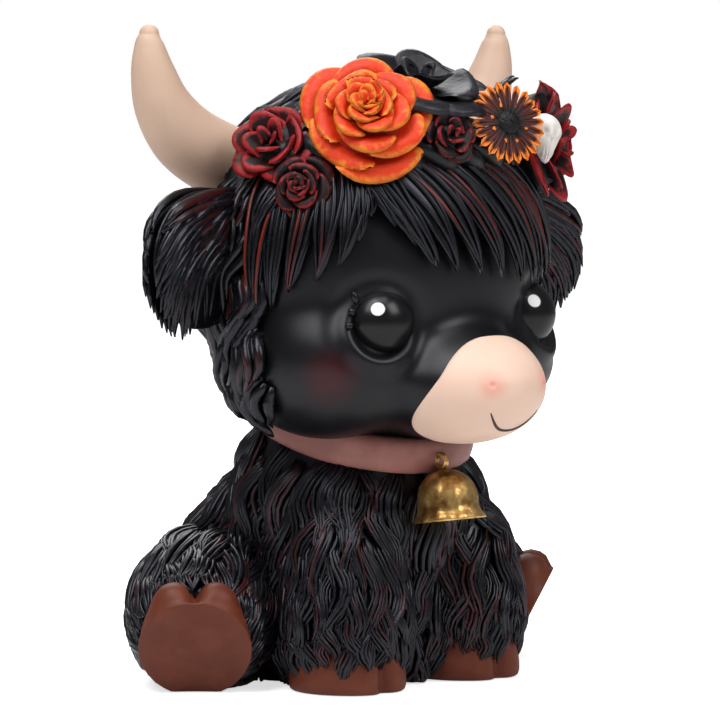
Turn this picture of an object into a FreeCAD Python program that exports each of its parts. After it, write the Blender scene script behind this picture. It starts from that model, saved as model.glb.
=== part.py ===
import FreeCAD, Part
import math
import os

# A seated longhaired calf, a cast and hand-painted resin ornament with a crown of flowers.
# The castings are made apart, seated in each other and glued: body, head, legs, hooves, horns,
# ears, hair, collar, bell and every flower are separate solids.
# Frame: the calf looks along -Y, its left side is +X, and it rests on Z = 0.
# The origin is the middle of the body's flat underside, straight below the horns.
# Lengths are in millimetres. A name that ends in share or shares holds plain ratios,
# and one that ends in angle or angles holds degrees.

V = FreeCAD.Vector
UP = V(0, 0, 1)
FRONT = V(0, -1, 0)
SIDES = {"right": -1, "left": 1}

# Room left between two castings for glue, and how far a cutting tool runs past what it cuts.
glue_gap = 0.15
overrun = 1.0

# Skull, and the forms that swell out of it, measured from its middle.
skull_back = -16.0
skull_height = 88.0
skull_half_width = 38.0
skull_half_depth = 31.5
skull_half_height = 36.0
cheek_out, cheek_forward, cheek_drop = 19.0, 5.0, 18.0
cheek_half_width, cheek_half_depth, cheek_half_height = 18.0, 22.0, 17.0
jaw_forward, jaw_drop = 6.0, 19.0
jaw_half_width, jaw_half_depth, jaw_half_height = 28.0, 22.0, 17.0
snout_forward, snout_drop = 27.5, 22.6
snout_half_width, snout_half_depth, snout_half_height = 18.0, 17.5, 12.8
head_end_trim = 1.6
head_section_shares = (0, 0.04, 0.11, 0.2, 0.3, 0.42, 0.55, 0.68, 0.8, 0.9, 0.97, 1)

# Pink end of the snout: half its front outline, as shares of the snout's half width and height.
muzzle_depth = 22.0
muzzle_outline_shares = ((0, 0.84), (0.47, 0.73), (0.77, 0.27), (0.9, -0.3), (0.83, -0.8), (0.47, -1.04))

# Eyes: balls let into the face. Their middles are found from these two heights and widths.
eye_radius = 8.0
eye_out = 23.0
eye_drop = 9.3
eye_proud = 2.9

# Body: chest, belly, rump and neck, with the neck's top carrying the head.
chest_forward, chest_height = 9.0, 36.0
chest_half_width, chest_half_depth, chest_half_height = 25.5, 24.5, 25.0
rump_back, rump_height = 7.0, 17.0
rump_half_width, rump_half_depth, rump_half_height = 31.0, 25.0, 26.0
belly_forward, belly_height = 9.0, 12.0
belly_half_width, belly_half_depth, belly_half_height = 26.0, 22.0, 22.0
neck_forward = 12.0
neck_half_width, neck_half_depth, neck_half_height = 20.0, 20.0, 16.0
body_growth = 0.8
body_section_shares = (0, 0.12, 0.25, 0.38, 0.51, 0.64, 0.76, 0.88, 1)
body_groove_shares = (1, 1, 1, 1, 1, 1, 0.8, 0.3, 0)
spigot_radius = 8.0
spigot_length = 6.0

# Collar: a flat strap round the neck, dipping at the throat.
collar_radius = 24.2
collar_strap = 7.2
collar_inset = 7.0
collar_edge = 1.1
collar_height = 55.3
collar_dip_angle = 13.0

# Bell on the collar: a cast dome with a flared lip, a shallow hollow below and a loop above.
bell_radius = 6.5
bell_lip_radius = 7.7
bell_height = 11.0
bell_lip = 1.6
bell_wall = 1.1
bell_hollow = 2.6
bell_lean_angle = 9.0
bell_drop = 1.2
bell_bite = 0.8
loop_radius = 1.5
loop_wire = 0.62

# Forelegs: upright shaggy columns on round cloven hooves.
foreleg_out = 16.6
foreleg_forward = 25.2
foreleg_height = 46.0
foreleg_hem = 3.2
foreleg_radius = 13.6
foreleg_profile_shares = ((0, 0.93), (0.1, 1.0), (0.3, 1.0), (0.52, 0.89), (0.76, 0.67), (1, 0.36))
foreleg_lean = 7.0
fore_hoof_radius = 12.4
fore_hoof_height = 10.5
fore_hoof_sole = 2.0

# Hind legs: splayed along the ground, each with its sole turned outwards and down.
hip_out, hip_back, hip_height = 24.0, 9.0, 17.0
ankle_out, ankle_forward, ankle_height = 43.0, 7.0, 12.6
hind_foot_angle = 42.0
hind_sole_tilt_angle = 27.0
thigh_radius = 18.5
hind_leg_radius = 15.2
hind_leg_profile_shares = ((0, 0.5), (0.18, 1.0), (0.45, 1.1), (0.7, 1.03), (0.9, 1.0), (1, 0.93))
hind_hoof_radius = 12.2
hind_hoof_length = 9.5
hind_hoof_proud = 3.4
hind_hoof_drop = 1.6
hind_toe_lift = 3.8

# The cleft between the two toes of every hoof.
cleft_width = 1.3
cleft_depth = 2.4

# Hair: how deep the grooves of a coat are, how many it has, and the locks that hang free.
coat_grooves = 15
coat_groove_depth = 1.3
coat_twist_angle = 14.0
ridge_spacing = 12.5
mane_groove_depth = 2.4
body_groove_depth = 2.2
fringe_groove_depth = 1.5
ridge_sway_share = 0.35
lock_thickness_share = 0.45
lock_width_shares = ((0, 0.75), (0.3, 1.0), (0.62, 0.82), (0.86, 0.45), (1, 0.1))

# Mane over the back of the head, down to the nape, with pointed locks along its lower edge:
# half of that edge as shares of the skull's width and height.
mane_thickness = 3.8
crest_back, crest_lift = 10.0, 12.0
crest_half_width, crest_half_depth, crest_half_height = 34.0, 29.5, 27.0
nape_back, nape_drop = 11.0, 12.0
nape_half_width, nape_half_depth, nape_half_height = 24.0, 18.5, 30.0
mane_section_shares = (0, 0.05, 0.15, 0.28, 0.42, 0.56, 0.7, 0.83, 0.93, 0.98, 1)
mane_front = 4.0
mane_slant_angle = 14.0
mane_hem_shares = ((1.3, 1.3), (1.3, -0.5), (0.86, -0.86), (0.72, -0.66), (0.56, -1.08), (0.4, -0.84),
                   (0.26, -1.18), (0.13, -0.94))
mane_hem_middle_share = -1.24

# Fringe: half shells on the brow, with pointed ends. Front outlines as shares of the skull's size.
fringe_thickness = 3.0
fringe_outline_shares = {
    "right": ((-1.3, 1.2), (-0.5, 1.2), (-0.56, 0.46), (-0.68, 0.26), (-0.82, 0.06),
              (-0.97, -0.26), (-1.3, -0.1)),
    "left": ((-0.5, 1.2), (1.3, 1.2), (1.3, 0.1), (0.96, -0.1), (0.84, 0.06), (0.7, -0.12),
             (0.5, -0.12), (0.14, 0.02), (-0.05, 0.16), (-0.29, 0.03), (-0.44, 0.2), (-0.56, 0.46)),
}

# Ears: drooping lenses inside a ragged outline, with a scooped face. The outline is shares of
# the reach and the drop, from the root.
ear_root_share = 0.86
ear_root_forward, ear_root_lift = 8.0, 11.0
ear_reach, ear_drop = 31.0, 30.0
ear_sweep_angle = 14.0
ear_lens_shares = (0.42, -0.3, 0.64, 0.8)
ear_half_thickness = 5.0
ear_outline_shares = ((-0.3, 0.14), (0.1, 0.28), (0.45, 0.27), (0.8, 0.13), (1.0, -0.1), (0.98, -0.5),
                      (0.86, -0.42), (0.84, -0.7), (0.7, -0.55), (0.66, -0.88), (0.52, -0.7),
                      (0.45, -1.0), (0.34, -0.76), (0.22, -0.92), (0.12, -0.6), (-0.3, -0.5))
ear_scoop_radius = 9.0
ear_scoop_depth = 2.0
ear_scoop_shares = ((0.34, -0.16), (0.56, -0.26), (0.76, -0.34))

# Locks that hang from the temples along the cheeks, down to the collar: a shell inside a ragged
# outline seen from the side, as shares of the skull's depth and height.
temple_thickness = 3.0
temple_outline_shares = ((-0.4, 0.3), (-0.32, -0.15), (-0.4, -0.66), (-0.2, -0.5), (-0.14, -0.86),
                         (0.02, -0.62), (0.14, -0.97), (0.28, -0.7), (0.42, -0.98), (0.8, -0.8), (0.8, 0.3))

# Horns: bent cones that leave the head sideways and turn upwards.
horn_root_radius = 8.0
horn_root_out, horn_root_height = 24.0, 109.5
horn_spread = 49.5
horn_tip_height = 139.0
horn_route_shares = ((0, 0), (0.3, 0.08), (0.62, 0.23), (0.85, 0.45), (0.96, 0.69), (1.0, 0.88), (1.0, 0.965), (1.0, 1.0))
horn_radius_shares = (1.0, 1.0, 0.94, 0.78, 0.6, 0.41, 0.28, 0.09)

# Tail: a tapered tail laid round the rump to a tuft on the ground.
tail_radius = 3.4
tail_root_height = 23.0
tail_end_height = 5.0
tail_reach = 25.0
tail_tuft_length = 15.0
tail_tuft_width = 11.0

# Crown: a band from horn to horn that carries the flowers.
band_back = -10.0
band_height = 113.0
band_radius = 31.5
band_thickness = 5.0
band_half_angle = 80.0

# Flowers. Each place is an angle round the band from the front towards the calf's right,
# a stand-off from the band's middle line, and a rise above it; each facing is an angle round
# and an angle up.
stem_root = 9.0
orange_rose_radius = 14.4
orange_rose_place = (40.0, 1.0, 8.0)
orange_rose_angles = (40.0, 31.0)
small_rose_radius = 6.6
small_rose_place = (60.0, 6.4, -6.6)
small_rose_angles = (50.0, 8.0)
dark_rose_radius = 6.4
dark_rose_place = (9.0, 4.0, 4.0)
dark_rose_angles = (16.0, 14.0)
right_peony_radius = 9.4
right_peony_place = (75.0, 2.4, 2.4)
right_peony_angles = (66.0, 24.0)
left_peony_radius = 11.0
left_peony_place = (-55.0, 6.5, 0.5)
left_peony_angles = (-50.0, 26.0)
poppy_radius = 13.0
poppy_place = (-4.0, -6.0, 14.0)
poppy_angles = (2.0, 62.0)
daisy_radius = 9.6
daisy_place = (-24.0, 6.5, 7.5)
daisy_angles = (-2.0, 20.0)
petal_thickness = 0.8
petal_fill_share = 0.97
pointed_bow_share = 1.6
daisy_petal_count = 20
daisy_petal_shares = ((0.36, 0), (0.82, 0.16), (1.0, 0.38), (1.0, 0.62), (0.82, 0.84))
daisy_disc_share = 0.27
# The heart of each flower is a ball: its radius and its rise. Each ring of petals has the ball
# it is cut from, how many, how far they lean from the axis, the turn of the first, the height
# of the ball, and the latitude of the brim of the bowl that they stand in.
rose_heart_shares = (0.3, 0.3)
rose_rings = ((0.36, 3, 42, 20, 0.34, 20), (0.6, 4, 50, 50, 0.16, 24), (0.86, 5, 62, 0, 0.02, 12))
open_heart_shares = (0.24, -0.02)
peony_rings = ((0.66, 5, 112, 36, 0.42, -48), (0.98, 6, 118, 0, 0.5, -44))
poppy_rings = ((0.7, 4, 116, 30, 0.46, -48), (1.02, 5, 118, 0, 0.56, -46))
stem_share = 0.2
leaf_length = 14.0
leaf_places = ((-38.0, -3.0, 8.5), (-68.0, -2.0, 7.5), (22.0, -8.0, 9.0))
leaf_angles = ((-25.0, 46.0), (-60.0, 48.0), (28.0, 62.0))
skull_charm_radius = 3.9
skull_charm_place = (-39.0, 7.5, 3.0)
skull_charm_angles = (-44.0, 4.0)

# How sharply swelling forms run into each other: higher is a harder crease.
melt_share = 14.0
ring_points = 22


def field(forms, growth, point):
    """Below 1 inside the smooth union of ellipsoids, given as (middle, half sizes)."""
    total = 0.0
    for middle, half in forms:
        offset = point - middle
        reach = math.sqrt((offset.x / (half.x + growth)) ** 2 + (offset.y / (half.y + growth)) ** 2
                          + (offset.z / (half.z + growth)) ** 2)
        total += math.exp(-melt_share * (reach - 1))
    return 1 - math.log(max(total, 1e-30)) / melt_share


def edge_along(forms, growth, start, direction, reach):
    """The point where a ray from inside leaves the smooth union."""
    low, high = 0.0, reach
    for _ in range(40):
        middle = (low + high) / 2
        if field(forms, growth, start + direction * middle) < 1:
            low = middle
        else:
            high = middle
    return start + direction * low


def level_ring(forms, growth, axis_y, height, reach):
    """A smooth closed curve: the outline of the union at one height."""
    points = []
    for k in range(ring_points):
        turn = 2 * math.pi * k / ring_points
        direction = V(-math.sin(turn), math.cos(turn), 0)
        points.append(edge_along(forms, growth, V(0, axis_y, height), direction, reach))
    curve = Part.BSplineCurve()
    curve.interpolate(points, PeriodicFlag=True)
    return Part.Wire([curve.toShape()])


def swelling_body(forms, growth, foot, top, shares, reach):
    """A loft through level outlines of the union, each taken round a point between foot and top."""
    rings = []
    for share in shares:
        centre = foot + (top - foot) * share
        rings.append(level_ring(forms, growth, centre.y, centre.z, reach))
    return Part.makeLoft(rings, True, False)


def ridged_ring(forms, growth, axis_y, height, reach, ridges, depth, sway):
    """A closed outline of the union at one height, with ridges and grooves all round."""
    corners = []
    for k in range(2 * ridges):
        turn = math.pi * (k + sway) / ridges
        direction = V(-math.sin(turn), math.cos(turn), 0)
        edge = edge_along(forms, growth, V(0, axis_y, height), direction, reach)
        corners.append(edge - direction * (depth if k % 2 else 0))
    return Part.makePolygon(corners + corners[:1])


def ridged_mass(forms, growth, foot, top, shares, reach, girth, depths):
    """A loft like swelling_body's whose skin is combed: ridges that sway from ring to ring."""
    ridges = max(round(math.pi * girth / ridge_spacing), 6)
    rings = []
    for k, (share, depth) in enumerate(zip(shares, depths)):
        centre = foot + (top - foot) * share
        sway = ridge_sway_share * math.sin(math.pi * k / 2)
        rings.append(ridged_ring(forms, growth, centre.y, centre.z, reach, ridges, depth, sway))
    return Part.makeLoft(rings, True, True)


def sideways(angle, rise=0.0):
    """The unit direction at an angle from the front towards the calf's right, raised by another."""
    turn, lift = math.radians(angle), math.radians(rise)
    return V(-math.sin(turn) * math.cos(lift), -math.cos(turn) * math.cos(lift), math.sin(lift))


def turned_to(shape, direction, place):
    """A shape built along +Z, laid along a direction at a place."""
    placed = shape.copy()
    placed.Placement = FreeCAD.Placement(place, FreeCAD.Rotation(UP, direction))
    return placed


def round_section(middle, direction, radius):
    return Part.Wire([Part.Circle(middle, direction, radius).toShape()])


def ellipsoid(middle, half):
    swell = FreeCAD.Matrix()
    swell.scale(half.x, half.y, half.z)
    solid = Part.makeSphere(1).transformGeometry(swell)
    solid.Placement = FreeCAD.Placement(middle, FreeCAD.Rotation())
    return solid


def bent_route(root, middle, tip, steps):
    """Points and tangents along a quadratic bend, at the given shares of its way."""
    points, tangents = [], []
    for t in steps:
        points.append(root * (1 - t) ** 2 + middle * (2 * t * (1 - t)) + tip * t ** 2)
        tangent = (middle - root) * (1 - t) + (tip - middle) * t
        tangents.append(tangent.normalize())
    return points, tangents


def hair_lock(root, middle, tip, outward, width):
    """A tapering lock of hair with a raised spine: four-sided sections along a bend."""
    steps = [share for share, _ in lock_width_shares]
    points, tangents = bent_route(root, middle, tip, steps)
    sections = []
    for point, tangent, (_, wide) in zip(points, tangents, lock_width_shares):
        side = tangent.cross(outward).normalize()
        out = side.cross(tangent).normalize()
        half = width * wide / 2
        crest = half * 2 * lock_thickness_share
        corners = [point + side * half, point + out * crest, point - side * half, point - out * crest]
        sections.append(Part.makePolygon(corners + corners[:1]))
    return Part.makeLoft(sections, True, True)


def fused(shapes):
    """One solid from several that overlap."""
    whole = shapes[0]
    if len(shapes) > 1:
        whole = whole.multiFuse(shapes[1:])
    return whole.removeSplitter()


def largest_solid(shape):
    """The main solid of a cut, without chips that the cut leaves."""
    return max(shape.Solids, key=lambda solid: solid.Volume)


def fitted(shape, neighbours):
    """What is left of a casting where its neighbours already are."""
    for neighbour in neighbours:
        if shape.BoundBox.intersect(neighbour.BoundBox):
            shape = shape.cut(neighbour)
    return largest_solid(shape)


# Forms of the head and body, as (middle, half sizes).
skull_middle = V(0, skull_back, skull_height)
skull_half = V(skull_half_width, skull_half_depth, skull_half_height)
skull_form = (skull_middle, skull_half)
cheek_half = V(cheek_half_width, cheek_half_depth, cheek_half_height)
jaw_middle = skull_middle + V(0, -jaw_forward, -jaw_drop)
jaw_form = (jaw_middle, V(jaw_half_width, jaw_half_depth, jaw_half_height))
snout_middle = skull_middle + V(0, -snout_forward, -snout_drop)
snout_form = (snout_middle, V(snout_half_width, snout_half_depth, snout_half_height))
head_forms = [skull_form, jaw_form, snout_form]
for side in SIDES.values():
    head_forms.append((skull_middle + V(side * cheek_out, -cheek_forward, -cheek_drop), cheek_half))
head_bottom = jaw_middle.z - jaw_half_height + head_end_trim
head_top = skull_height + skull_half_height - head_end_trim
head_reach = 2 * (skull_half_width + skull_half_depth)

body_forms = [
    (V(0, -chest_forward, chest_height), V(chest_half_width, chest_half_depth, chest_half_height)),
    (V(0, rump_back, rump_height), V(rump_half_width, rump_half_depth, rump_half_height)),
    (V(0, -belly_forward, belly_height), V(belly_half_width, belly_half_depth, belly_half_height)),
    (V(0, -neck_forward, head_bottom), V(neck_half_width, neck_half_depth, neck_half_height)),
]
crest_form = (skull_middle + V(0, crest_back, crest_lift), V(crest_half_width, crest_half_depth, crest_half_height))
nape_form = (skull_middle + V(0, nape_back, -nape_drop), V(nape_half_width, nape_half_depth, nape_half_height))


def make_body():
    depths = [body_groove_depth * share for share in body_groove_shares]
    body = ridged_mass(body_forms, body_growth, V(0, 0, 0), V(0, -neck_forward, head_bottom), body_section_shares,
                       head_reach, chest_half_width + rump_half_width, depths)
    spigot = Part.makeCylinder(spigot_radius, spigot_length + overrun, V(0, -neck_forward, head_bottom - overrun))
    return body.fuse(spigot)


def make_whole_head():
    foot, top = V(0, jaw_middle.y, head_bottom), V(0, skull_back, head_top)
    return swelling_body(head_forms, 0, foot, top, head_section_shares, head_reach)


def muzzle_block():
    """The prism that parts the pink end of the snout from the head."""
    back = snout_middle.y - snout_half_depth + muzzle_depth
    right_edge, left_edge = [], []
    for wide, high in muzzle_outline_shares:
        height = snout_middle.z + high * snout_half_height
        left_edge.append(V(wide * snout_half_width, back, height))
        right_edge.append(V(-wide * snout_half_width, back, height))
    outline = left_edge + [V(0, back, left_edge[-1].z)] + right_edge[:0:-1]
    curve = Part.BSplineCurve()
    curve.interpolate(outline, PeriodicFlag=True)
    face = Part.Face(Part.Wire([curve.toShape()]))
    return face.extrude(FRONT * (muzzle_depth + overrun))


def eye_middle(side):
    """The middle of an eye: under the skin by what of its radius isn't proud."""
    inside = V(side * eye_out, skull_back, skull_height - eye_drop)
    skin = edge_along(head_forms, 0, inside, FRONT, head_reach)
    inward = (skull_middle - skin).normalize()
    return skin + inward * (eye_radius - eye_proud)


def make_eye(side):
    return Part.makeSphere(eye_radius, eye_middle(side))


def make_head(whole_head, body):
    head = whole_head.cut(muzzle_block())
    for side in SIDES.values():
        head = head.cut(Part.makeSphere(eye_radius + glue_gap, eye_middle(side)))
        head = head.cut(horn_socket(side))
    socket = Part.makeCylinder(spigot_radius + glue_gap, spigot_length + glue_gap,
                               V(0, -neck_forward, head_bottom))
    return largest_solid(head.cut(socket))


def horn_points(side):
    """The horn's middle line, in the upright plane through both horns."""
    points = []
    for out, rise in horn_route_shares:
        x = horn_root_out + (horn_spread - horn_root_out) * out
        z = horn_root_height + (horn_tip_height - horn_root_height) * rise
        points.append(V(side * x, 0, z))
    return points


def horn_sections(side, growth):
    points = horn_points(side)
    sections = []
    for k, (point, share) in enumerate(zip(points, horn_radius_shares)):
        before, after = points[max(k - 1, 0)], points[min(k + 1, len(points) - 1)]
        sections.append(round_section(point, after - before, horn_root_radius * share + growth))
    return sections


def make_horn(side):
    return Part.makeLoft(horn_sections(side, 0), True, False)


def horn_socket(side):
    return Part.makeLoft(horn_sections(side, glue_gap), True, False)


def collar_axis():
    return FreeCAD.Rotation(V(1, 0, 0), collar_dip_angle).multVec(UP)


def make_collar(body, whole_head):
    """A strap of rounded section revolved about the leaning axis, fitted to the neck and the chin."""
    middle = V(0, -neck_forward, collar_height)
    outer, inner = collar_radius, collar_radius - collar_inset
    half = collar_strap / 2
    corners = [V(inner, 0, -half), V(outer - collar_edge, 0, -half), V(outer, 0, 0),
               V(outer - collar_edge, 0, half), V(inner, 0, half)]
    lines = [Part.LineSegment(corners[0], corners[1]).toShape(),
             Part.Arc(corners[1], corners[2], corners[3]).toShape(),
             Part.LineSegment(corners[3], corners[4]).toShape(),
             Part.LineSegment(corners[4], corners[0]).toShape()]
    ring = Part.Face(Part.Wire(lines)).revolve(V(0, 0, 0), UP, 360)
    ring = turned_to(ring, collar_axis(), middle)
    return largest_solid(ring.cut(body).cut(whole_head))


def bell_place():
    """Where the bell's loop meets the front of the collar, and the way the bell hangs."""
    front = FreeCAD.Rotation(V(1, 0, 0), collar_dip_angle).multVec(FRONT)
    top = V(0, -neck_forward, collar_height) + front * collar_radius + V(0, -loop_wire, -bell_drop)
    hang = FreeCAD.Rotation(V(1, 0, 0), -bell_lean_angle).multVec(-UP)
    return top, hang


def make_bell():
    """The dome, revolved from its wall outline, with the underside hollowed."""
    top, hang = bell_place()
    shoulder = bell_radius * math.sqrt(0.5)
    outline = [
        Part.Arc(V(0, 0, 0), V(shoulder, 0, bell_radius - shoulder), V(bell_radius, 0, bell_radius)).toShape(),
        Part.LineSegment(V(bell_radius, 0, bell_radius), V(bell_radius, 0, bell_height - 2 * bell_lip)).toShape(),
        Part.LineSegment(V(bell_radius, 0, bell_height - 2 * bell_lip),
                         V(bell_lip_radius, 0, bell_height - bell_lip / 2)).toShape(),
        Part.LineSegment(V(bell_lip_radius, 0, bell_height - bell_lip / 2),
                         V(bell_lip_radius, 0, bell_height)).toShape(),
        Part.LineSegment(V(bell_lip_radius, 0, bell_height), V(0, 0, bell_height)).toShape(),
        Part.LineSegment(V(0, 0, bell_height), V(0, 0, 0)).toShape(),
    ]
    dome = Part.Face(Part.Wire(outline)).revolve(V(0, 0, 0), UP, 360)
    hollow = Part.makeCone(bell_radius - 2 * bell_wall, bell_lip_radius - bell_wall, bell_hollow,
                           V(0, 0, bell_height - bell_hollow))
    dome = dome.cut(hollow)
    start = top + hang * (2 * loop_radius - loop_wire) + V(0, -bell_bite, 0)
    return turned_to(dome, hang, start)


def make_bell_loop(bell, collar):
    """The eye that joins the bell to the collar."""
    top, hang = bell_place()
    middle = top + hang * (loop_radius - loop_wire)
    ring = Part.makeTorus(loop_radius, loop_wire, middle, V(1, 0, 0))
    return largest_solid(ring.cut(bell).cut(collar))


def coat_section(middle, along, across, radius, phase):
    """A closed outline of hair ridges and grooves round an axis."""
    third = along.cross(across).normalize()
    side = third.cross(along).normalize()
    corners = []
    for k in range(2 * coat_grooves):
        turn = math.pi * k / coat_grooves + phase
        reach = radius - (coat_groove_depth if k % 2 else 0)
        corners.append(middle + side * (reach * math.cos(turn)) + third * (reach * math.sin(turn)))
    return Part.makePolygon(corners + corners[:1])


def shaggy_limb(points, radii, across):
    """A limb whose coat is ridged along its length, with the ridges swaying to and fro."""
    sections = []
    for k, (point, radius) in enumerate(zip(points, radii)):
        along = points[min(k + 1, len(points) - 1)] - points[max(k - 1, 0)]
        sway = math.radians(coat_twist_angle) * math.sin(math.pi * k / 2)
        sections.append(coat_section(point, along.normalize(), across, radius, sway))
    return Part.makeLoft(sections, True, True)


def make_fore_hoof(side):
    """A round hoof, flat below, narrowing upwards, with a cleft between its toes."""
    middle = V(side * foreleg_out, -foreleg_forward, 0)
    hoof = Part.makeCone(fore_hoof_radius, fore_hoof_radius - fore_hoof_sole, fore_hoof_height, middle)
    front = middle + FRONT * fore_hoof_radius
    cleft = Part.makeCylinder(cleft_width, fore_hoof_height + 2 * overrun, front + V(0, 0, -overrun))
    return hoof.cut(cleft)


def make_foreleg(side, body, hoof):
    points, radii = [], []
    for rise, share in foreleg_profile_shares:
        lean = foreleg_lean * rise ** 2
        height = foreleg_hem + (foreleg_height - foreleg_hem) * rise
        points.append(V(side * (foreleg_out - lean / 2), -foreleg_forward + lean, height))
        radii.append(foreleg_radius * share)
    leg = shaggy_limb(points, radii, V(1, 0, 0))
    own_half = Part.makeBox(head_reach, head_reach, head_reach, V(glue_gap, -head_reach, 0))
    if side < 0:
        own_half = own_half.mirror(V(0, 0, 0), V(1, 0, 0))
    return largest_solid(leg.common(own_half).cut(body).cut(hoof))


def hind_directions(side):
    """The way a hind foot points, its sole's outward normal and the way across its toes."""
    points_to = sideways(-side * hind_foot_angle)
    sole = sideways(-side * hind_foot_angle, -hind_sole_tilt_angle)
    across = points_to.cross(UP).normalize()
    return points_to, sole, across


def above_ground(shape):
    block = Part.makeBox(2 * head_reach, 2 * head_reach, head_reach, V(-head_reach, -head_reach, 0))
    return shape.common(block)


def make_hind_hoof(side):
    """A short round hoof whose sole faces outwards; two toes bulge over its upper edge."""
    points_to, sole, across = hind_directions(side)
    ankle = V(side * ankle_out, -ankle_forward, ankle_height)
    end = ankle + points_to * hind_hoof_proud - UP * hind_hoof_drop
    block = Part.makeCone(hind_hoof_radius - fore_hoof_sole / 2, hind_hoof_radius, hind_hoof_length)
    hoof = turned_to(block, sole, end - sole * (hind_hoof_length - hind_hoof_proud))
    rise = across.cross(sole).normalize()
    if rise.z < 0:
        rise = rise * -1
    front = end + sole * hind_hoof_proud
    toes = []
    for half in (-1, 1):
        toe = Part.makeCylinder(hind_hoof_radius / 2, hind_hoof_length)
        start = front - sole * hind_hoof_length + across * (half * hind_hoof_radius / 2)
        start = start + rise * (hind_hoof_radius / 2 + hind_toe_lift - cleft_depth)
        toes.append(turned_to(toe, sole, start))
    hoof = fused([hoof] + toes)
    cleft = Part.makeCylinder(cleft_width / 2, hind_hoof_length + 2 * overrun)
    start = front - sole * (hind_hoof_length + overrun) + rise * (hind_hoof_radius + hind_toe_lift / 2 - cleft_depth)
    hoof = hoof.cut(turned_to(cleft, sole, start))
    return largest_solid(above_ground(hoof))


def make_hind_leg(side, body, hoof, foreleg):
    hip = V(side * hip_out, hip_back, hip_height)
    ankle = V(side * ankle_out, -ankle_forward, ankle_height)
    points, radii = [], []
    for way, share in hind_leg_profile_shares:
        points.append(hip + (ankle - hip) * way)
        radii.append((thigh_radius + (hind_leg_radius - thigh_radius) * way) * share)
    leg = shaggy_limb(points, radii, UP)
    return largest_solid(above_ground(leg).cut(body).cut(hoof).cut(foreleg))


def make_tail(body):
    """The bare tail, a bent cone that starts on the rump and runs to the ground at its left."""
    root = V(0, rump_back, tail_root_height)
    back = rump_back + rump_half_depth
    middle = V(tail_radius, back + 2 * tail_radius, tail_root_height)
    tip = V(tail_reach * math.sqrt(0.5), back - tail_radius, tail_end_height)
    steps = (0, 0.25, 0.5, 0.75, 1)
    points, tangents = bent_route(root, middle, tip, steps)
    sections = [round_section(point, tangent, tail_radius * (1 - step / 4))
                for point, tangent, step in zip(points, tangents, steps)]
    tail = Part.makeLoft(sections, True, False)
    tuft_tip = tip + V(tail_tuft_length, -tail_tuft_length / 4, -tail_end_height / 4)
    tuft = hair_lock(points[-2], tip, tuft_tip, V(0, 1, 0), tail_tuft_width)
    return largest_solid(tail.cut(body)), largest_solid(above_ground(tuft).cut(body).cut(tail))


def prism(corners, middle, across, rise, way, length):
    """A prism over a polygon whose corners are given along two directions."""
    points = [middle + across * wide + rise * high for wide, high in corners]
    return Part.Face(Part.makePolygon(points + points[:1])).extrude(way * length)


def on_skull(shares, wide, high):
    """Corners given as shares of two of the skull's half sizes."""
    return [(x * wide, z * high) for x, z in shares]


def face_region():
    """Everything ahead of the slanting plane where the mane ends and the fringe begins."""
    block = Part.makeBox(2 * head_reach, head_reach, 2 * head_reach, V(-head_reach, -head_reach, -head_reach))
    edge = V(0, skull_back + mane_front, skull_height)
    block.Placement = FreeCAD.Placement(edge, FreeCAD.Rotation(V(1, 0, 0), mane_slant_angle))
    return block


def make_mane(whole_head, body, collar):
    """The back hair: a shell over the skull, cut back from the face, ragged along the nape."""
    forms = [(skull_middle, skull_half + V(1, 1, 1) * mane_thickness), crest_form, nape_form]
    foot = nape_form[0] - UP * (nape_half_height - head_end_trim)
    top = crest_form[0] + UP * (crest_half_height - head_end_trim / 2)
    depths = [mane_groove_depth] * (len(mane_section_shares) - 2) + [mane_groove_depth / 2, 0]
    shell = ridged_mass(forms, 0, foot, top, mane_section_shares, head_reach, 2 * skull_half_width, depths)
    left_edge = list(mane_hem_shares)
    right_edge = [(-x, z) for x, z in reversed(left_edge)]
    corners = on_skull(left_edge + [(0, mane_hem_middle_share)] + right_edge, skull_half_width, skull_half_height)
    start = V(0, skull_back - skull_half_depth, skull_height)
    block = prism(corners, start, V(1, 0, 0), UP, -FRONT, head_reach)
    shell = shell.common(block.cut(face_region()))
    return fitted(shell, [whole_head, body, collar, horn_socket(-1), horn_socket(1)])


def make_fringe(name, whole_head, eyes):
    """Hair laid on the brow: a shell over the skull inside a pointed outline seen from the front."""
    foot = skull_middle - UP * skull_half_height
    top = skull_middle + UP * (skull_half_height + fringe_thickness / 2)
    depths = [fringe_groove_depth] * len(head_section_shares)
    grown = ridged_mass([skull_form], fringe_thickness, foot, top, head_section_shares, head_reach,
                        2 * skull_half_width, depths)
    corners = on_skull(fringe_outline_shares[name], skull_half_width, skull_half_height)
    start = V(0, skull_back + 2 * mane_front, skull_height)
    block = prism(corners, start, V(1, 0, 0), UP, FRONT, head_reach)
    shell = grown.common(block.common(face_region()))
    return fitted(shell, [whole_head] + eyes)


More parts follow.
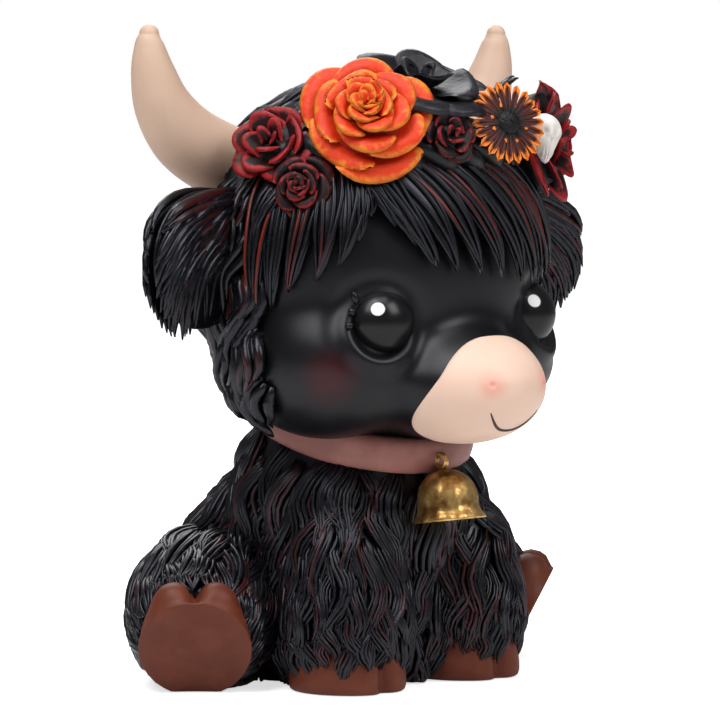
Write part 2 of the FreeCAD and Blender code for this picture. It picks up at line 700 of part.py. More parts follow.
def make_ear(side, neighbours):
    """A drooping lens inside a ragged outline, scooped in front."""
    root = V(side * skull_half_width * ear_root_share, skull_back + ear_root_forward, skull_height + ear_root_lift)
    turn = FreeCAD.Rotation(UP, -side * ear_sweep_angle)
    out, forward = turn.multVec(V(side, 0, 0)), turn.multVec(FRONT)
    middle_out, middle_rise, half_out, half_rise = ear_lens_shares
    middle = root + out * (ear_reach * middle_out) + UP * (ear_drop * middle_rise)
    lens = ellipsoid(middle, V(ear_reach * half_out, ear_half_thickness, ear_drop * half_rise))
    lens.Placement = FreeCAD.Placement(middle, turn)
    corners = [(x * ear_reach, z * ear_drop) for x, z in ear_outline_shares]
    back = root - forward * (2 * ear_half_thickness)
    ear = lens.common(prism(corners, back, out, UP, forward, 4 * ear_half_thickness))
    for x, z in ear_scoop_shares:
        hollow = root + out * (x * ear_reach) + UP * (z * ear_drop)
        hollow = hollow + forward * (ear_half_thickness + ear_scoop_radius - ear_scoop_depth)
        ear = ear.cut(Part.makeSphere(ear_scoop_radius, hollow))
    return fitted(ear, neighbours)


def make_temple_locks(side, neighbours):
    """The locks from under the ear along the cheek to the collar."""
    foot = V(0, jaw_middle.y, head_bottom - temple_thickness)
    top = V(0, skull_back, head_top)
    depths = [fringe_groove_depth] * len(head_section_shares)
    shell = ridged_mass(head_forms, temple_thickness, foot, top, head_section_shares, head_reach,
                        2 * skull_half_width, depths)
    corners = on_skull(temple_outline_shares, skull_half_depth, skull_half_height)
    start = V(side * skull_half_width / 3, skull_back, skull_height)
    block = prism(corners, start, V(0, 1, 0), UP, V(side, 0, 0), head_reach)
    strip = shell.common(block.common(face_region()))
    return fitted(strip, neighbours)


def band_point(place):
    angle, stand, rise = place
    return V(0, band_back, band_height + rise) + sideways(angle) * (band_radius + stand)


def band_ring():
    """The part ring from one horn round the brow to the other."""
    start = sideways(band_half_angle)
    middle = V(0, band_back, band_height)
    circle = round_section(middle + start * band_radius, start.cross(UP), band_thickness)
    return Part.Face(circle).revolve(middle, UP, 2 * band_half_angle)


def hair_forms():
    """Smooth forms just outside the hair, to fit what is set on it."""
    gap = V(1, 1, 1) * (2 * glue_gap)
    grown = ellipsoid(skull_middle, skull_half + V(1, 1, 1) * fringe_thickness + gap)
    return [grown, ellipsoid(crest_form[0], crest_form[1] + gap)]


def cupped_petal(half_width, curl, pointed):
    """A petal cut from a hollow ball, standing on +Z: round, or pointed like a leaf."""
    shell = Part.makeSphere(curl).cut(Part.makeSphere(curl - petal_thickness))
    length = curl + overrun
    if not pointed:
        return shell.common(Part.makeCylinder(half_width, length))
    bow = half_width * pointed_bow_share
    for way in (-1, 1):
        shell = shell.common(Part.makeCylinder(bow, length, V(way * (bow - half_width), 0, 0)))
    return shell


def petal_ring(curl, count, lean, phase, centre, pointed=False):
    """Petals side by side round a flower's axis, leaning away from it, cut from one ball."""
    half_width = curl * math.sin(math.radians(lean)) * math.sin(math.pi / count) * petal_fill_share
    petals = []
    for k in range(count):
        petal = cupped_petal(half_width, curl, pointed)
        petal.rotate(V(0, 0, 0), UP, 90)
        petal.rotate(V(0, 0, 0), V(0, 1, 0), lean)
        petal.rotate(V(0, 0, 0), UP, phase + 360.0 * k / count)
        petal.translate(UP * centre)
        petals.append(petal)
    return petals


def bowl(radius, centre, brim_angle):
    """The solid bottom of a ball, up to a brim at a latitude."""
    return Part.makeSphere(radius, UP * centre, UP, -90, brim_angle, 360)


def stem(radius, top):
    return Part.makeCylinder(radius, stem_root + top, V(0, 0, -stem_root))


def blossom(radius, heart, rings, pointed=False):
    """A flower round a ball of a heart: rings of petals, each standing in a bowl, on a stem root."""
    heart_radius, heart_rise = heart
    shapes = [Part.makeSphere(radius * heart_radius, UP * (radius * heart_rise))]
    for curl, count, lean, phase, centre, brim in rings:
        shapes.append(bowl(radius * curl + petal_thickness / 4, radius * centre, brim))
        shapes += petal_ring(radius * curl, count, lean, phase, radius * centre, pointed)
    return fused(shapes + [stem(radius * stem_share, petal_thickness)])


def daisy(radius):
    """A wheel of narrow petals round a domed disc."""
    disc = radius * daisy_disc_share
    corners = []
    for k in range(daisy_petal_count):
        for reach, turn in daisy_petal_shares:
            around = 2 * math.pi * (k + turn) / daisy_petal_count
            corners.append((radius * reach * math.cos(around), radius * reach * math.sin(around)))
    wheel = prism(corners, V(0, 0, 0), V(1, 0, 0), V(0, 1, 0), UP, petal_thickness)
    dome = Part.makeSphere(disc)
    return fused([wheel, dome, stem(disc / 2, 0)])


def leaf(length):
    blade = cupped_petal(length / 4, length, True)
    blade.translate(V(0, 0, -length))
    return fused([blade, stem(length / 12, 0)])


def skull_charm(radius):
    """A small plain death's head: round crown, narrower jaw and two eye hollows."""
    crown = Part.makeSphere(radius)
    jaw = Part.makeCylinder(radius * 0.62, radius * 1.5, V(0, -radius * 0.12, -radius * 1.62))
    jaw = jaw.common(Part.makeSphere(radius * 1.7, V(0, 0, 0)))
    whole = fused([crown, jaw])
    for side in SIDES.values():
        whole = whole.cut(Part.makeSphere(radius * 0.27, V(side * radius * 0.38, -radius * 0.9, -radius * 0.05)))
    whole.rotate(V(0, 0, 0), V(1, 0, 0), -90)
    post = Part.makeCylinder(radius * 0.4, stem_root, V(0, 0, -stem_root))
    return fused([whole, post])


def blossom_room(radius, rings):
    """The ball that a blossom's outer petals lie on, and its stem root."""
    curl, _, _, _, centre, _ = rings[-1]
    ball = Part.makeSphere(radius * curl + petal_thickness / 2, UP * (radius * centre))
    return [ball, stem(radius * stem_share + glue_gap, 0)]


def daisy_room(radius):
    wheel = Part.makeCylinder(radius + glue_gap, petal_thickness + 2 * glue_gap, UP * -glue_gap)
    disc = radius * daisy_disc_share
    return [wheel, Part.makeSphere(disc + glue_gap), stem(disc / 2 + glue_gap, 0)]


def make_crown(carriers):
    """The band, then each flower in turn, fitted to what is already there."""
    roses = ("orange_rose", "small_rose", "dark_rose")
    crown = {
        "orange_rose": (orange_rose_radius, rose_rings, orange_rose_place, orange_rose_angles),
        "black_poppy": (poppy_radius, poppy_rings, poppy_place, poppy_angles),
        "right_peony": (right_peony_radius, peony_rings, right_peony_place, right_peony_angles),
        "left_peony": (left_peony_radius, peony_rings, left_peony_place, left_peony_angles),
        "small_rose": (small_rose_radius, rose_rings, small_rose_place, small_rose_angles),
        "dark_rose": (dark_rose_radius, rose_rings, dark_rose_place, dark_rose_angles),
    }
    ring = band_ring()
    pieces = {"crown_band": fitted(ring, carriers)}
    filled = carriers + [ring]

    def seat(name, shape, room, place, angles):
        direction, point = sideways(*angles), band_point(place)
        pieces[name] = fitted(turned_to(shape, direction, point), filled)
        filled.extend(turned_to(tool, direction, point) for tool in room)

    for name, (radius, rings, place, angles) in crown.items():
        heart = rose_heart_shares if name in roses else open_heart_shares
        shape = blossom(radius, heart, rings, rings is peony_rings)
        seat(name, shape, blossom_room(radius, rings), place, angles)
        if name == "left_peony":
            seat("daisy", daisy(daisy_radius), daisy_room(daisy_radius), daisy_place, daisy_angles)
    charm = skull_charm(skull_charm_radius)
    seat("skull_charm", charm, [Part.makeSphere(skull_charm_radius)], skull_charm_place, skull_charm_angles)
    leaves = []
    for place, angles in zip(leaf_places, leaf_angles):
        leaves.append(fitted(turned_to(leaf(leaf_length), sideways(*angles), band_point(place)), filled))
    pieces["crown_leaves"] = Part.makeCompound(leaves)
    return pieces


def make_figure():
    """Every casting by name, each fitted to those made before it."""
    pieces = {}
    whole_head = make_whole_head()
    body = make_body()
    head = make_head(whole_head, body)
    pieces["body"] = body
    pieces["head"] = head
    pieces["muzzle"] = whole_head.common(muzzle_block())
    collar = make_collar(body, whole_head)
    bell = make_bell()
    bell = fitted(bell, [body, collar])
    pieces["collar"] = collar
    pieces["bell"] = bell
    pieces["bell_loop"] = make_bell_loop(bell, collar)

    for name, side in SIDES.items():
        pieces[f"{name}_eye"] = make_eye(side)
        pieces[f"{name}_horn"] = make_horn(side)
        hoof = make_fore_hoof(side)
        foreleg = make_foreleg(side, body, hoof)
        hind_hoof = make_hind_hoof(side)
        hind_leg = make_hind_leg(side, body, hind_hoof, foreleg)
        pieces[f"{name}_fore_hoof"] = hoof.cut(body)
        pieces[f"{name}_foreleg"] = foreleg.cut(bell)
        pieces[f"{name}_hind_hoof"] = hind_hoof
        pieces[f"{name}_hind_leg"] = hind_leg
    pieces["tail"], pieces["tail_tuft"] = make_tail(body)

    eyes = [pieces["right_eye"], pieces["left_eye"]]
    horns = [pieces["right_horn"], pieces["left_horn"]]
    mane = make_mane(whole_head, body, collar)
    pieces["mane"] = mane
    for name, side in SIDES.items():
        fringe = make_fringe(name, whole_head, eyes)
        pieces[f"{name}_fringe"] = fringe
    for name, side in SIDES.items():
        ear = make_ear(side, [whole_head, mane, pieces[f"{name}_fringe"]])
        pieces[f"{name}_ear"] = ear
        nearby = [whole_head, pieces[f"{name}_fringe"], ear, collar, body]
        pieces[f"{name}_temple_locks"] = make_temple_locks(side, nearby)

    pieces.update(make_crown(hair_forms() + horns + [pieces["right_ear"], pieces["left_ear"]]))
    return pieces


os.makedirs("parts", exist_ok=True)
for name, shape in make_figure().items():
    shape.exportStep(f"parts/{name}.step")
    print(name, len(shape.Solids), round(shape.Volume), shape.isValid())
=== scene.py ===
# %% [markdown]
# A seated longhaired calf, cast in resin and painted by hand, with a crown of flowers.
# The solids give the masses and where each casting sits. This lesson gives the paint and the
# modelling that a sculptor adds: combed hair, petals, a smooth face, hooves, collar and bell.
# Almost every piece is a set of closed skins: rings of points carried along a path and joined.

# %% The frame
import math

import bpy
import numpy as np
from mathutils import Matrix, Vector


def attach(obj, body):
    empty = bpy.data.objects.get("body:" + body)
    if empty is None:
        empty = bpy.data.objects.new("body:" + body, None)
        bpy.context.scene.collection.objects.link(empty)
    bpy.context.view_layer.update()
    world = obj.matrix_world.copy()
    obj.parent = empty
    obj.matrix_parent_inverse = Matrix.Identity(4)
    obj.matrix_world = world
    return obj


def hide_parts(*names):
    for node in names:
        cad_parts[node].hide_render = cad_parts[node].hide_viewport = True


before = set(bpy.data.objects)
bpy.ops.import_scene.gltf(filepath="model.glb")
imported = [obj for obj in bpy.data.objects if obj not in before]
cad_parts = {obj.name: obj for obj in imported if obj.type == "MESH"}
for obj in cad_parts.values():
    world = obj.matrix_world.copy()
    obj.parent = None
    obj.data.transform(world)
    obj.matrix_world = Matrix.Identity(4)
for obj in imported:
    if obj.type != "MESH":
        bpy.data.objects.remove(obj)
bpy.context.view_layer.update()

MM = 0.001
UP = np.array([0.0, 0.0, 1.0])
FRONT = np.array([0.0, -1.0, 0.0])
LEFT = np.array([1.0, 0.0, 0.0])
SIDES = {"right": -1, "left": 1}
dice = np.random.default_rng(7)
print("solids:", len(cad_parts))

# %% [markdown]
# The camera stands far off with a long lens, as in a product photograph: as high as the tips of
# the horns, looking down a little, and well round to the calf's right. A long lens keeps both
# horns nearly the same size.
# The lens follows from how many pixels a millimetre takes in the picture.

# %% The camera
AZIMUTH, ELEVATION = math.radians(-42.0), math.radians(4.1)
DISTANCE, PIXELS_PER_MM, PICTURE = 970.0, 4.645, 720
SENSOR, CLIP_END = 36.0, 10.0
LOOK_AT = np.array([-0.2, -11.0, 68.0])
towards_camera = np.array([math.sin(AZIMUTH) * math.cos(ELEVATION),
                           -math.cos(AZIMUTH) * math.cos(ELEVATION), math.sin(ELEVATION)])
camera = bpy.data.objects.new("camera", bpy.data.cameras.new("camera"))
camera.data.sensor_width = SENSOR
camera.data.lens = SENSOR * PIXELS_PER_MM * DISTANCE / PICTURE
camera.data.clip_end = CLIP_END
camera.location = Vector((LOOK_AT + towards_camera * DISTANCE) * MM)
camera.rotation_euler = Vector(-towards_camera).to_track_quat("-Z", "Y").to_euler()
bpy.context.scene.collection.objects.link(camera)
bpy.context.scene.camera = camera
print("lens", round(camera.data.lens), "mm")

# %% [markdown]
# A material is a small sum of patterns. Wrapping each socket in a class lets the sum be written
# as Python: mask * 0.5 + 1 adds its Math nodes by itself, and any other node is one call.


# %% Writing shaders as expressions
class Signal:
    """One output socket. + - * and their reflected forms add Math nodes."""

    def __init__(self, paint, socket):
        self.paint, self.socket = paint, socket

    def math(self, operation, first, second):
        return self.paint.node("ShaderNodeMath", {"operation": operation}, first, second)

    def __add__(self, other):
        return self.math("ADD", self, other)

    def __sub__(self, other):
        return self.math("SUBTRACT", self, other)

    def __rsub__(self, other):
        return self.math("SUBTRACT", other, self)

    def __mul__(self, other):
        return self.math("MULTIPLY", self, other)

    __radd__, __rmul__ = __add__, __mul__

    def between(self, low, high):
        """0 below low, 1 above high, and smooth between."""
        return self.paint.node("ShaderNodeMapRange", {"interpolation_type": "SMOOTHSTEP", "clamp": True},
                               self, low, high, 0.0, 1.0)


# %% A paint and its patterns
class Paint:
    """A material under way: its node tree, its Principled shader and helpers for its patterns."""

    def __init__(self, name, **constants):
        self.material = bpy.data.materials.new(name)
        self.material.use_nodes = True
        self.tree = self.material.node_tree
        self.shader = self.tree.nodes["Principled BSDF"]
        self.set(**constants)

    def plug(self, socket, value):
        """A link for a signal, a colour with its alpha for three numbers, or else the value itself."""
        if isinstance(value, Signal):
            self.tree.links.new(value.socket, socket)
        elif isinstance(value, (tuple, list)) and len(value) == 3 and len(socket.default_value) == 4:
            socket.default_value = (*value, 1.0)
        else:
            socket.default_value = value

    def set(self, **values):
        """Sockets of the shader by name, such as base_color or specular_ior_level."""
        for name, value in values.items():
            self.plug(self.shader.inputs[name.replace("_", " ").title().replace("Ior", "IOR")], value)

    def node(self, kind, settings, *values, outlet=0, **named):
        """Any node: its settings first, then its sockets by order or by name."""
        node = self.tree.nodes.new(kind)
        for name, value in settings.items():
            setattr(node, name, value)
        sockets = [socket for socket in node.inputs if socket.enabled]
        for socket, value in zip(sockets, values):
            self.plug(socket, value)
        for name, value in named.items():
            self.plug(node.inputs[name], value)
        return Signal(self, node.outputs[outlet])

    def place(self):
        """The point on the object, in metres."""
        return self.node("ShaderNodeTexCoord", {}, outlet="Object")

    def form(self):
        """The three numbers that each point of a mesh holds for its paint."""
        stored = self.node("ShaderNodeAttribute", {"attribute_name": "form"}, outlet="Vector")
        first = self.node("ShaderNodeSeparateXYZ", {}, stored)
        return [Signal(self, outlet) for outlet in first.socket.node.outputs]

    def noise(self, scale, detail=3.0, roughness=0.55):
        """A cloudy pattern from 0 to 1, finer as its scale goes up."""
        return self.node("ShaderNodeTexNoise", {}, Vector=self.place(), Scale=scale, Detail=detail,
                         Roughness=roughness)

    def blend(self, mask, first, second):
        """One colour turning into another as the mask goes from 0 to 1."""
        node = self.tree.nodes.new("ShaderNodeMix")
        node.data_type = "RGBA"
        for socket, value in ((node.inputs[0], mask), (node.inputs[6], first), (node.inputs[7], second)):
            self.plug(socket, value)
        return Signal(self, node.outputs[2])

    def near(self, point, radius, softness):
        """1 inside a ball of this radius round a point in millimetres, fading to 0 outside it."""
        offset = self.node("ShaderNodeVectorMath", {"operation": "DISTANCE"}, self.place(),
                           tuple(float(x) * MM for x in point), outlet="Value")
        return 1 - offset.between((radius - softness) * MM, (radius + softness) * MM)

    def relief(self, height, distance, strength):
        """Fine relief: a Bump node that feeds the normal. The distance is in millimetres."""
        return self.node("ShaderNodeBump", {}, Strength=strength, Distance=distance * MM, Height=height)


# %% [markdown]
# Soft studio light: a tall soft box at the calf's right, a weaker one in front, one overhead and
# one behind for the rims, in a dim even surround. The camera alone sees the surround as white,
# so the white page adds no light to the paint. The floor glows for the camera in the same way,
# and less near the feet, where the shadow of the figure stays.


# %% The studio
def soft_box(name, azimuth, elevation, distance, size, watts, tall=1.0):
    """A lamp on a sphere round the figure, turned to its middle, its height tall times its width."""
    turn, rise = math.radians(azimuth), math.radians(elevation)
    away = Vector((math.sin(turn) * math.cos(rise), -math.cos(turn) * math.cos(rise), math.sin(rise)))
    lamp = bpy.data.lights.new(name, "AREA")
    lamp.shape, lamp.size, lamp.size_y, lamp.energy = "RECTANGLE", size, size * tall, watts
    holder = bpy.data.objects.new(name, lamp)
    holder.location = Vector(LOOK_AT * MM) + away * distance
    holder.rotation_euler = (-away).to_track_quat("-Z", "Y").to_euler()
    bpy.context.scene.collection.objects.link(holder)
    print("soft box", name, watts, "W")


soft_box("key", -80, 54, 0.85, 0.42, 5.0, 1.5)
soft_box("fill", 14, 42, 0.95, 0.42, 3.9, 1.2)
soft_box("top", -40, 80, 0.8, 0.5, 2.6)
soft_box("rim", 150, 40, 0.9, 0.6, 3.0)

# %% The surround
SURROUND, WHITE = (0.13, 0.13, 0.135, 1), (1, 1, 1, 1)
world = bpy.data.worlds.new("surround")
world.use_nodes = True
bpy.context.scene.world = world
ray = world.node_tree.nodes.new("ShaderNodeLightPath")
seen = world.node_tree.nodes.new("ShaderNodeMix")
seen.data_type = "RGBA"
world.node_tree.links.new(ray.outputs["Is Camera Ray"], seen.inputs[0])
seen.inputs[6].default_value, seen.inputs[7].default_value = SURROUND, WHITE
world.node_tree.links.new(seen.outputs[2], world.node_tree.nodes["Background"].inputs["Color"])
bpy.context.scene.view_settings.view_transform = "Standard"
print("surround:", SURROUND[:3], "and white to the camera")

# %% The floor
FLOOR_REACH, FLOOR_DROP = 3.0, 0.0002
GLOW_AT_FEET, GLOW_START, GLOW_FULL = 0.66, 0.09, 0.3
floor_mesh = bpy.data.meshes.new("floor")
corners = [(x * FLOOR_REACH, y * FLOOR_REACH, 0) for x, y in ((-1, -1), (1, -1), (1, 1), (-1, 1))]
floor_mesh.from_pydata(corners, [], [(0, 1, 2, 3)])
floor = bpy.data.objects.new("floor", floor_mesh)
floor.location.z = -FLOOR_DROP
bpy.context.scene.collection.objects.link(floor)
floor_paint = Paint("floor", base_color=(0.9, 0.9, 0.9), roughness=0.9)
camera_ray = floor_paint.node("ShaderNodeLightPath", {}, outlet="Is Camera Ray")
far_off = floor_paint.node("ShaderNodeVectorMath", {"operation": "LENGTH"}, floor_paint.place(),
                           outlet="Value")
glow = GLOW_AT_FEET + far_off.between(GLOW_START, GLOW_FULL) * (1 - GLOW_AT_FEET)
floor_paint.set(emission_color=camera_ray * glow, emission_strength=1.0)
floor_mesh.materials.append(floor_paint.material)
print("floor", 2 * FLOOR_REACH, "m wide")

# %% [markdown]
# The masses of the animal are ellipsoids that run into each other like clay. A point's value is
# below 1 inside and above 1 outside, so any point can be pulled onto the skin along the slope.
# The same rule gives the smooth face and the ground that every lock of hair lies on.

# %% Clay
MELT, FAR = 14.0, 4.0
TINY, LEAST, NO_LENGTH = 1e-9, 1e-30, 1e-12
RIDGE_PITCH, RIDGE_SWAY = 12.5, 0.35
RAY_REACH, HALVINGS = 160.0, 32


class Clay:
    """Masses that melt together, (middle, half sizes) each, and the combed ridges of their skin.

    The ridges stand round an axis from foot to top, both (y, z). Shares are the heights where the
    depths of the grooves are given, and girth sets how many ridges there are. Soft is one more
    mass, which melts in by its own number.
    """

    def __init__(self, masses, growth=0.0, foot=None, top=None, shares=None, girth=0.0, depths=None,
                 soft=None):
        self.soft, self.heights = soft, None
        self.centres = np.array([middle for middle, _ in masses], float)
        self.halves = np.array([half for _, half in masses], float) + growth
        if foot is not None:
            share = np.array(shares)
            self.heights = foot[1] + (top[1] - foot[1]) * share
            self.axis = foot[0] + (top[0] - foot[0]) * share
            self.sway = RIDGE_SWAY * np.sin(math.pi * np.arange(len(share)) / 2)
            self.depths = np.array(depths, float)
            self.ridges = round(math.pi * girth / RIDGE_PITCH)

    def groove(self, points):
        """How far the skin lies in: a zigzag round the axis, 0 on a ridge, that sways with height."""
        if self.heights is None:
            return 0.0
        z = points[..., 2]
        turn = np.arctan2(-points[..., 0], points[..., 1] - np.interp(z, self.heights, self.axis))
        k = turn * self.ridges / math.pi - np.interp(z, self.heights, self.sway)
        return np.interp(z, self.heights, self.depths) * (1 - np.abs(k % 2 - 1))


# %% The skin of the clay
def reached(points, middle, half):
    """The offset from an ellipsoid's middle in shares of its half sizes, and its length q."""
    offset = (points - middle) / half
    return offset, np.sqrt((offset ** 2).sum(-1)) + TINY


def swelling(clay, points):
    """Value and slope of the union: v = 1 - ln(sum of exp(-k (q - 1))) / k, with k the melt."""
    offset, q = reached(points[..., None, :], clay.centres, clay.halves)
    weight = np.exp(-MELT * (np.minimum(q, FAR) - 1))
    total = weight.sum(-1) + LEAST
    value = 1 - np.log(total) / MELT
    slope = (weight[..., None] * offset / clay.halves / q[..., None]).sum(-2) / total[..., None]
    if clay.soft:
        middle, half, melt = clay.soft
        offset, q = reached(points, np.array(middle), half)
        most, added = np.exp(-melt * (value - 1)), np.exp(-melt * (np.minimum(q, FAR) - 1))
        slope = (most[..., None] * slope + (added / q)[..., None] * offset / half) / (most + added)[..., None]
        value = 1 - np.log(most + added) / melt
    return value, slope


def settled(clay, points, lift, rounds=5):
    """Points pulled onto the skin, or to a height above it: p + n (lift - distance), repeated."""
    for _ in range(rounds):
        value, slope = swelling(clay, points)
        steep = np.linalg.norm(slope, axis=-1, keepdims=True)
        height = np.asarray(lift - clay.groove(points))
        points = points + slope / steep * (height[..., None] - (value[..., None] - 1) / steep)
    return points


def outward(clay, points):
    """The skin's unit normal at or near points."""
    slope = swelling(clay, points)[1]
    return slope / np.linalg.norm(slope, axis=-1, keepdims=True)


def cast_rays(clay, start, directions):
    """Where rays from inside leave the union, by halving the interval."""
    low = np.zeros(directions.shape[:-1])
    high = np.full(directions.shape[:-1], RAY_REACH)
    for _ in range(HALVINGS):
        middle = (low + high) / 2
        inside = swelling(clay, start + directions * middle[..., None])[0] < 1
        low, high = np.where(inside, middle, low), np.where(inside, high, middle)
    return start + directions * low[..., None]


def unit(vectors):
    """Vectors divided by their length."""
    return vectors / (np.linalg.norm(vectors, axis=-1, keepdims=True) + NO_LENGTH)


# %% [markdown]
# A shell is what a mesh needs: points, faces of four and three corners, and up to three numbers
# per point for the paint. Rings of points in order make a closed skin: each ring is joined to the
# next, and a fan of triangles closes both ends. Skins that come out inside out are turned.


# %% From rings to meshes
def skins(rings, values=None):
    """Closed skins through rings of points, as an array (skins, rings, points, 3)."""
    count, length, around, _ = rings.shape
    if values is None:
        values = np.zeros(rings.shape)
    ends = [rings[:, :1].mean(2), rings[:, -1:].mean(2)]
    value_ends = [values[:, :1].mean(2), values[:, -1:].mean(2)]
    flat = np.concatenate([rings.reshape(count, -1, 3)] + ends, 1)
    flat_values = np.concatenate([values.reshape(count, -1, 3)] + value_ends, 1)
    row = np.arange(length - 1)[:, None] * around
    here, there = row + np.arange(around), row + (np.arange(around) + 1) % around
    quads = np.stack([here, there, there + around, here + around], -1).reshape(-1, 4)
    first, last = length * around, length * around + 1
    fans = np.concatenate([
        np.stack([np.full(around, first), there[0], here[0]], -1),
        np.stack([np.full(around, last), here[-1] + around, there[-1] + around], -1)])
    corners = flat[:, np.concatenate([quads[:, [0, 1, 2]], quads[:, [0, 2, 3]], fans])]
    volume = np.einsum("ijk,ijk->i", corners[:, :, 0], np.cross(corners[:, :, 1], corners[:, :, 2]))
    base = np.arange(count)[:, None, None] * flat.shape[1]
    turned = (volume < 0)[:, None, None]
    all_quads = np.where(turned, quads[:, ::-1], quads) + base
    all_fans = np.where(turned, fans[:, ::-1], fans) + base
    return (flat.reshape(-1, 3), all_quads.reshape(-1, 4), all_fans.reshape(-1, 3),
            flat_values.reshape(-1, 3))


def hoop(rings):
    """A closed skin whose last ring joins its first, as an array (rings, points, 3)."""
    length, around, _ = rings.shape
    row = np.arange(length)[:, None]
    col = np.arange(around)
    here, there = row * around + col, row * around + (col + 1) % around
    after = (row + 1) % length * around
    quads = np.stack([here, there, after + (col + 1) % around, after + col], -1).reshape(-1, 4)
    flat = rings.reshape(-1, 3)
    corners = flat[np.concatenate([quads[:, [0, 1, 2]], quads[:, [0, 2, 3]]])]
    if np.einsum("jk,jk->", corners[:, 0], np.cross(corners[:, 1], corners[:, 2])) < 0:
        quads = quads[:, ::-1]
    return flat, quads, np.zeros((0, 3), int), np.zeros(flat.shape)


# %% From shells to pieces
def piece(name, shells, paint, slot, *nodes):
    """One object from shells, riding on the body and standing for its solids."""
    shift = np.cumsum([0] + [len(shell[0]) for shell in shells])
    points = np.concatenate([shell[0] for shell in shells])
    quads = np.concatenate([shell[1] + s for shell, s in zip(shells, shift)])
    threes = np.concatenate([shell[2] + s for shell, s in zip(shells, shift)])
    values = np.concatenate([shell[3] for shell in shells])
    points[:, 2] = np.maximum(points[:, 2], 0.0)
    mesh = bpy.data.meshes.new(name)
    mesh.vertices.add(len(points))
    mesh.vertices.foreach_set("co", (points * MM).ravel())
    mesh.loops.add(quads.size + threes.size)
    mesh.loops.foreach_set("vertex_index", np.concatenate([quads.ravel(), threes.ravel()]).astype(np.int32))
    starts = np.concatenate([np.arange(len(quads)) * 4, quads.size + np.arange(len(threes)) * 3])
    mesh.polygons.add(len(starts))
    mesh.polygons.foreach_set("loop_start", starts.astype(np.int32))
    mesh.polygons.foreach_set("use_smooth", np.ones(len(starts), bool))
    mesh.attributes.new("form", "FLOAT_VECTOR", "POINT").data.foreach_set("vector", values.ravel())
    mesh.update(calc_edges=True)
    mesh.validate()
    mesh.materials.append(paint.material)
    made = bpy.data.objects.new(name, mesh)
    bpy.context.scene.collection.objects.link(made)
    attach(made, "root")
    if nodes:
        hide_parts(*nodes)
    print(name, 2 * len(quads) + len(threes), "triangles")


# %% Balls and tubes
def ball(clay, centre, rows, columns, lift=0.0):
    """A skin seen from its middle: rays down meridians, with the poles above and below."""
    fall = (np.arange(rows) + 0.5) / rows * math.pi
    turn = np.arange(columns) / columns * 2 * math.pi
    rays = np.stack([np.sin(fall)[:, None] * np.sin(turn), np.sin(fall)[:, None] * -np.cos(turn),
                     np.cos(fall)[:, None] * np.ones(columns)], -1)
    points = cast_rays(clay, np.asarray(centre, float), rays)
    return points + outward(clay, points) * np.asarray(lift - clay.groove(points))[..., None]


def sweep(path, outs, half_wide, half_thick, section):
    """A flat section (x, y) carried along paths (n, rings, 3), its y side towards outs."""
    along = unit(np.gradient(path, axis=-2))
    side = unit(np.cross(along, outs))
    out = np.cross(side, along)
    x, y = section[..., 0], section[..., 1]
    return (path[..., None, :] + side[..., None, :] * (half_wide[..., None] * x)[..., None]
            + out[..., None, :] * (half_thick[..., None] * y)[..., None])


NO_PATH = np.array([0.13, 0.97, 0.21])


def round_section(sides, start=0.0):
    """The corners (cos a, sin a) of a round section."""
    turn = np.arange(sides) / sides * 2 * math.pi + start
    return np.stack([np.cos(turn), np.sin(turn)], -1)


def tube(path, radii, around):
    """A round skin along one path. It turns with the path from a direction that no path here takes."""
    outs = np.broadcast_to(NO_PATH, path.shape)
    return sweep(path[None], outs[None], radii[None], radii[None], round_section(around))


# %% [markdown]
# Modelled hair is not single hairs: it is locks of a few thick cords that run together at a tip.
# A lock's path follows the clay downhill and is pulled back onto the skin after each step. Its
# sway depends on where it starts, so neighbours bend alike, as combed hair does.

# %% Hair
LOCK_STEPS = 11
CORD_STEPS, CORD_SIDES, BROAD_SIDES = 9, 6, 16
UNEVEN_PLACES, SPREAD, CROWN, WEAVE, SCATTER, OVAL = 0.4, 0.42, 0.4, 0.05, 0.06, 1.15
# Thickness along a cord and a broad lock, and width along a lock: places from 0 to 1 and shares.
CORD_PLACES, CORD_SHARES = (0, 0.15, 0.6, 0.88, 1), (0.6, 1, 1, 0.62, 0.16)
BROAD_PLACES, BROAD_SHARES = (0, 0.25, 0.6, 0.85, 1), (0.8, 1, 0.86, 0.5, 0.08)
FAN_PLACES, FAN_SHARES = (0, 0.3, 0.65, 1), (0.7, 1.0, 0.85, 0.12)


def jitter(shape, spread):
    """Random numbers from -spread to spread."""
    return dice.uniform(-spread, spread, shape)


def painted(rings, high, along):
    """Numbers for the paint: how high on its cord a point lies, how far along, and the cord's lot."""
    values = np.zeros(rings.shape)
    values[..., 0], values[..., 1] = high, along
    values[..., 2] = dice.random(len(rings))[:, None, None]
    return values


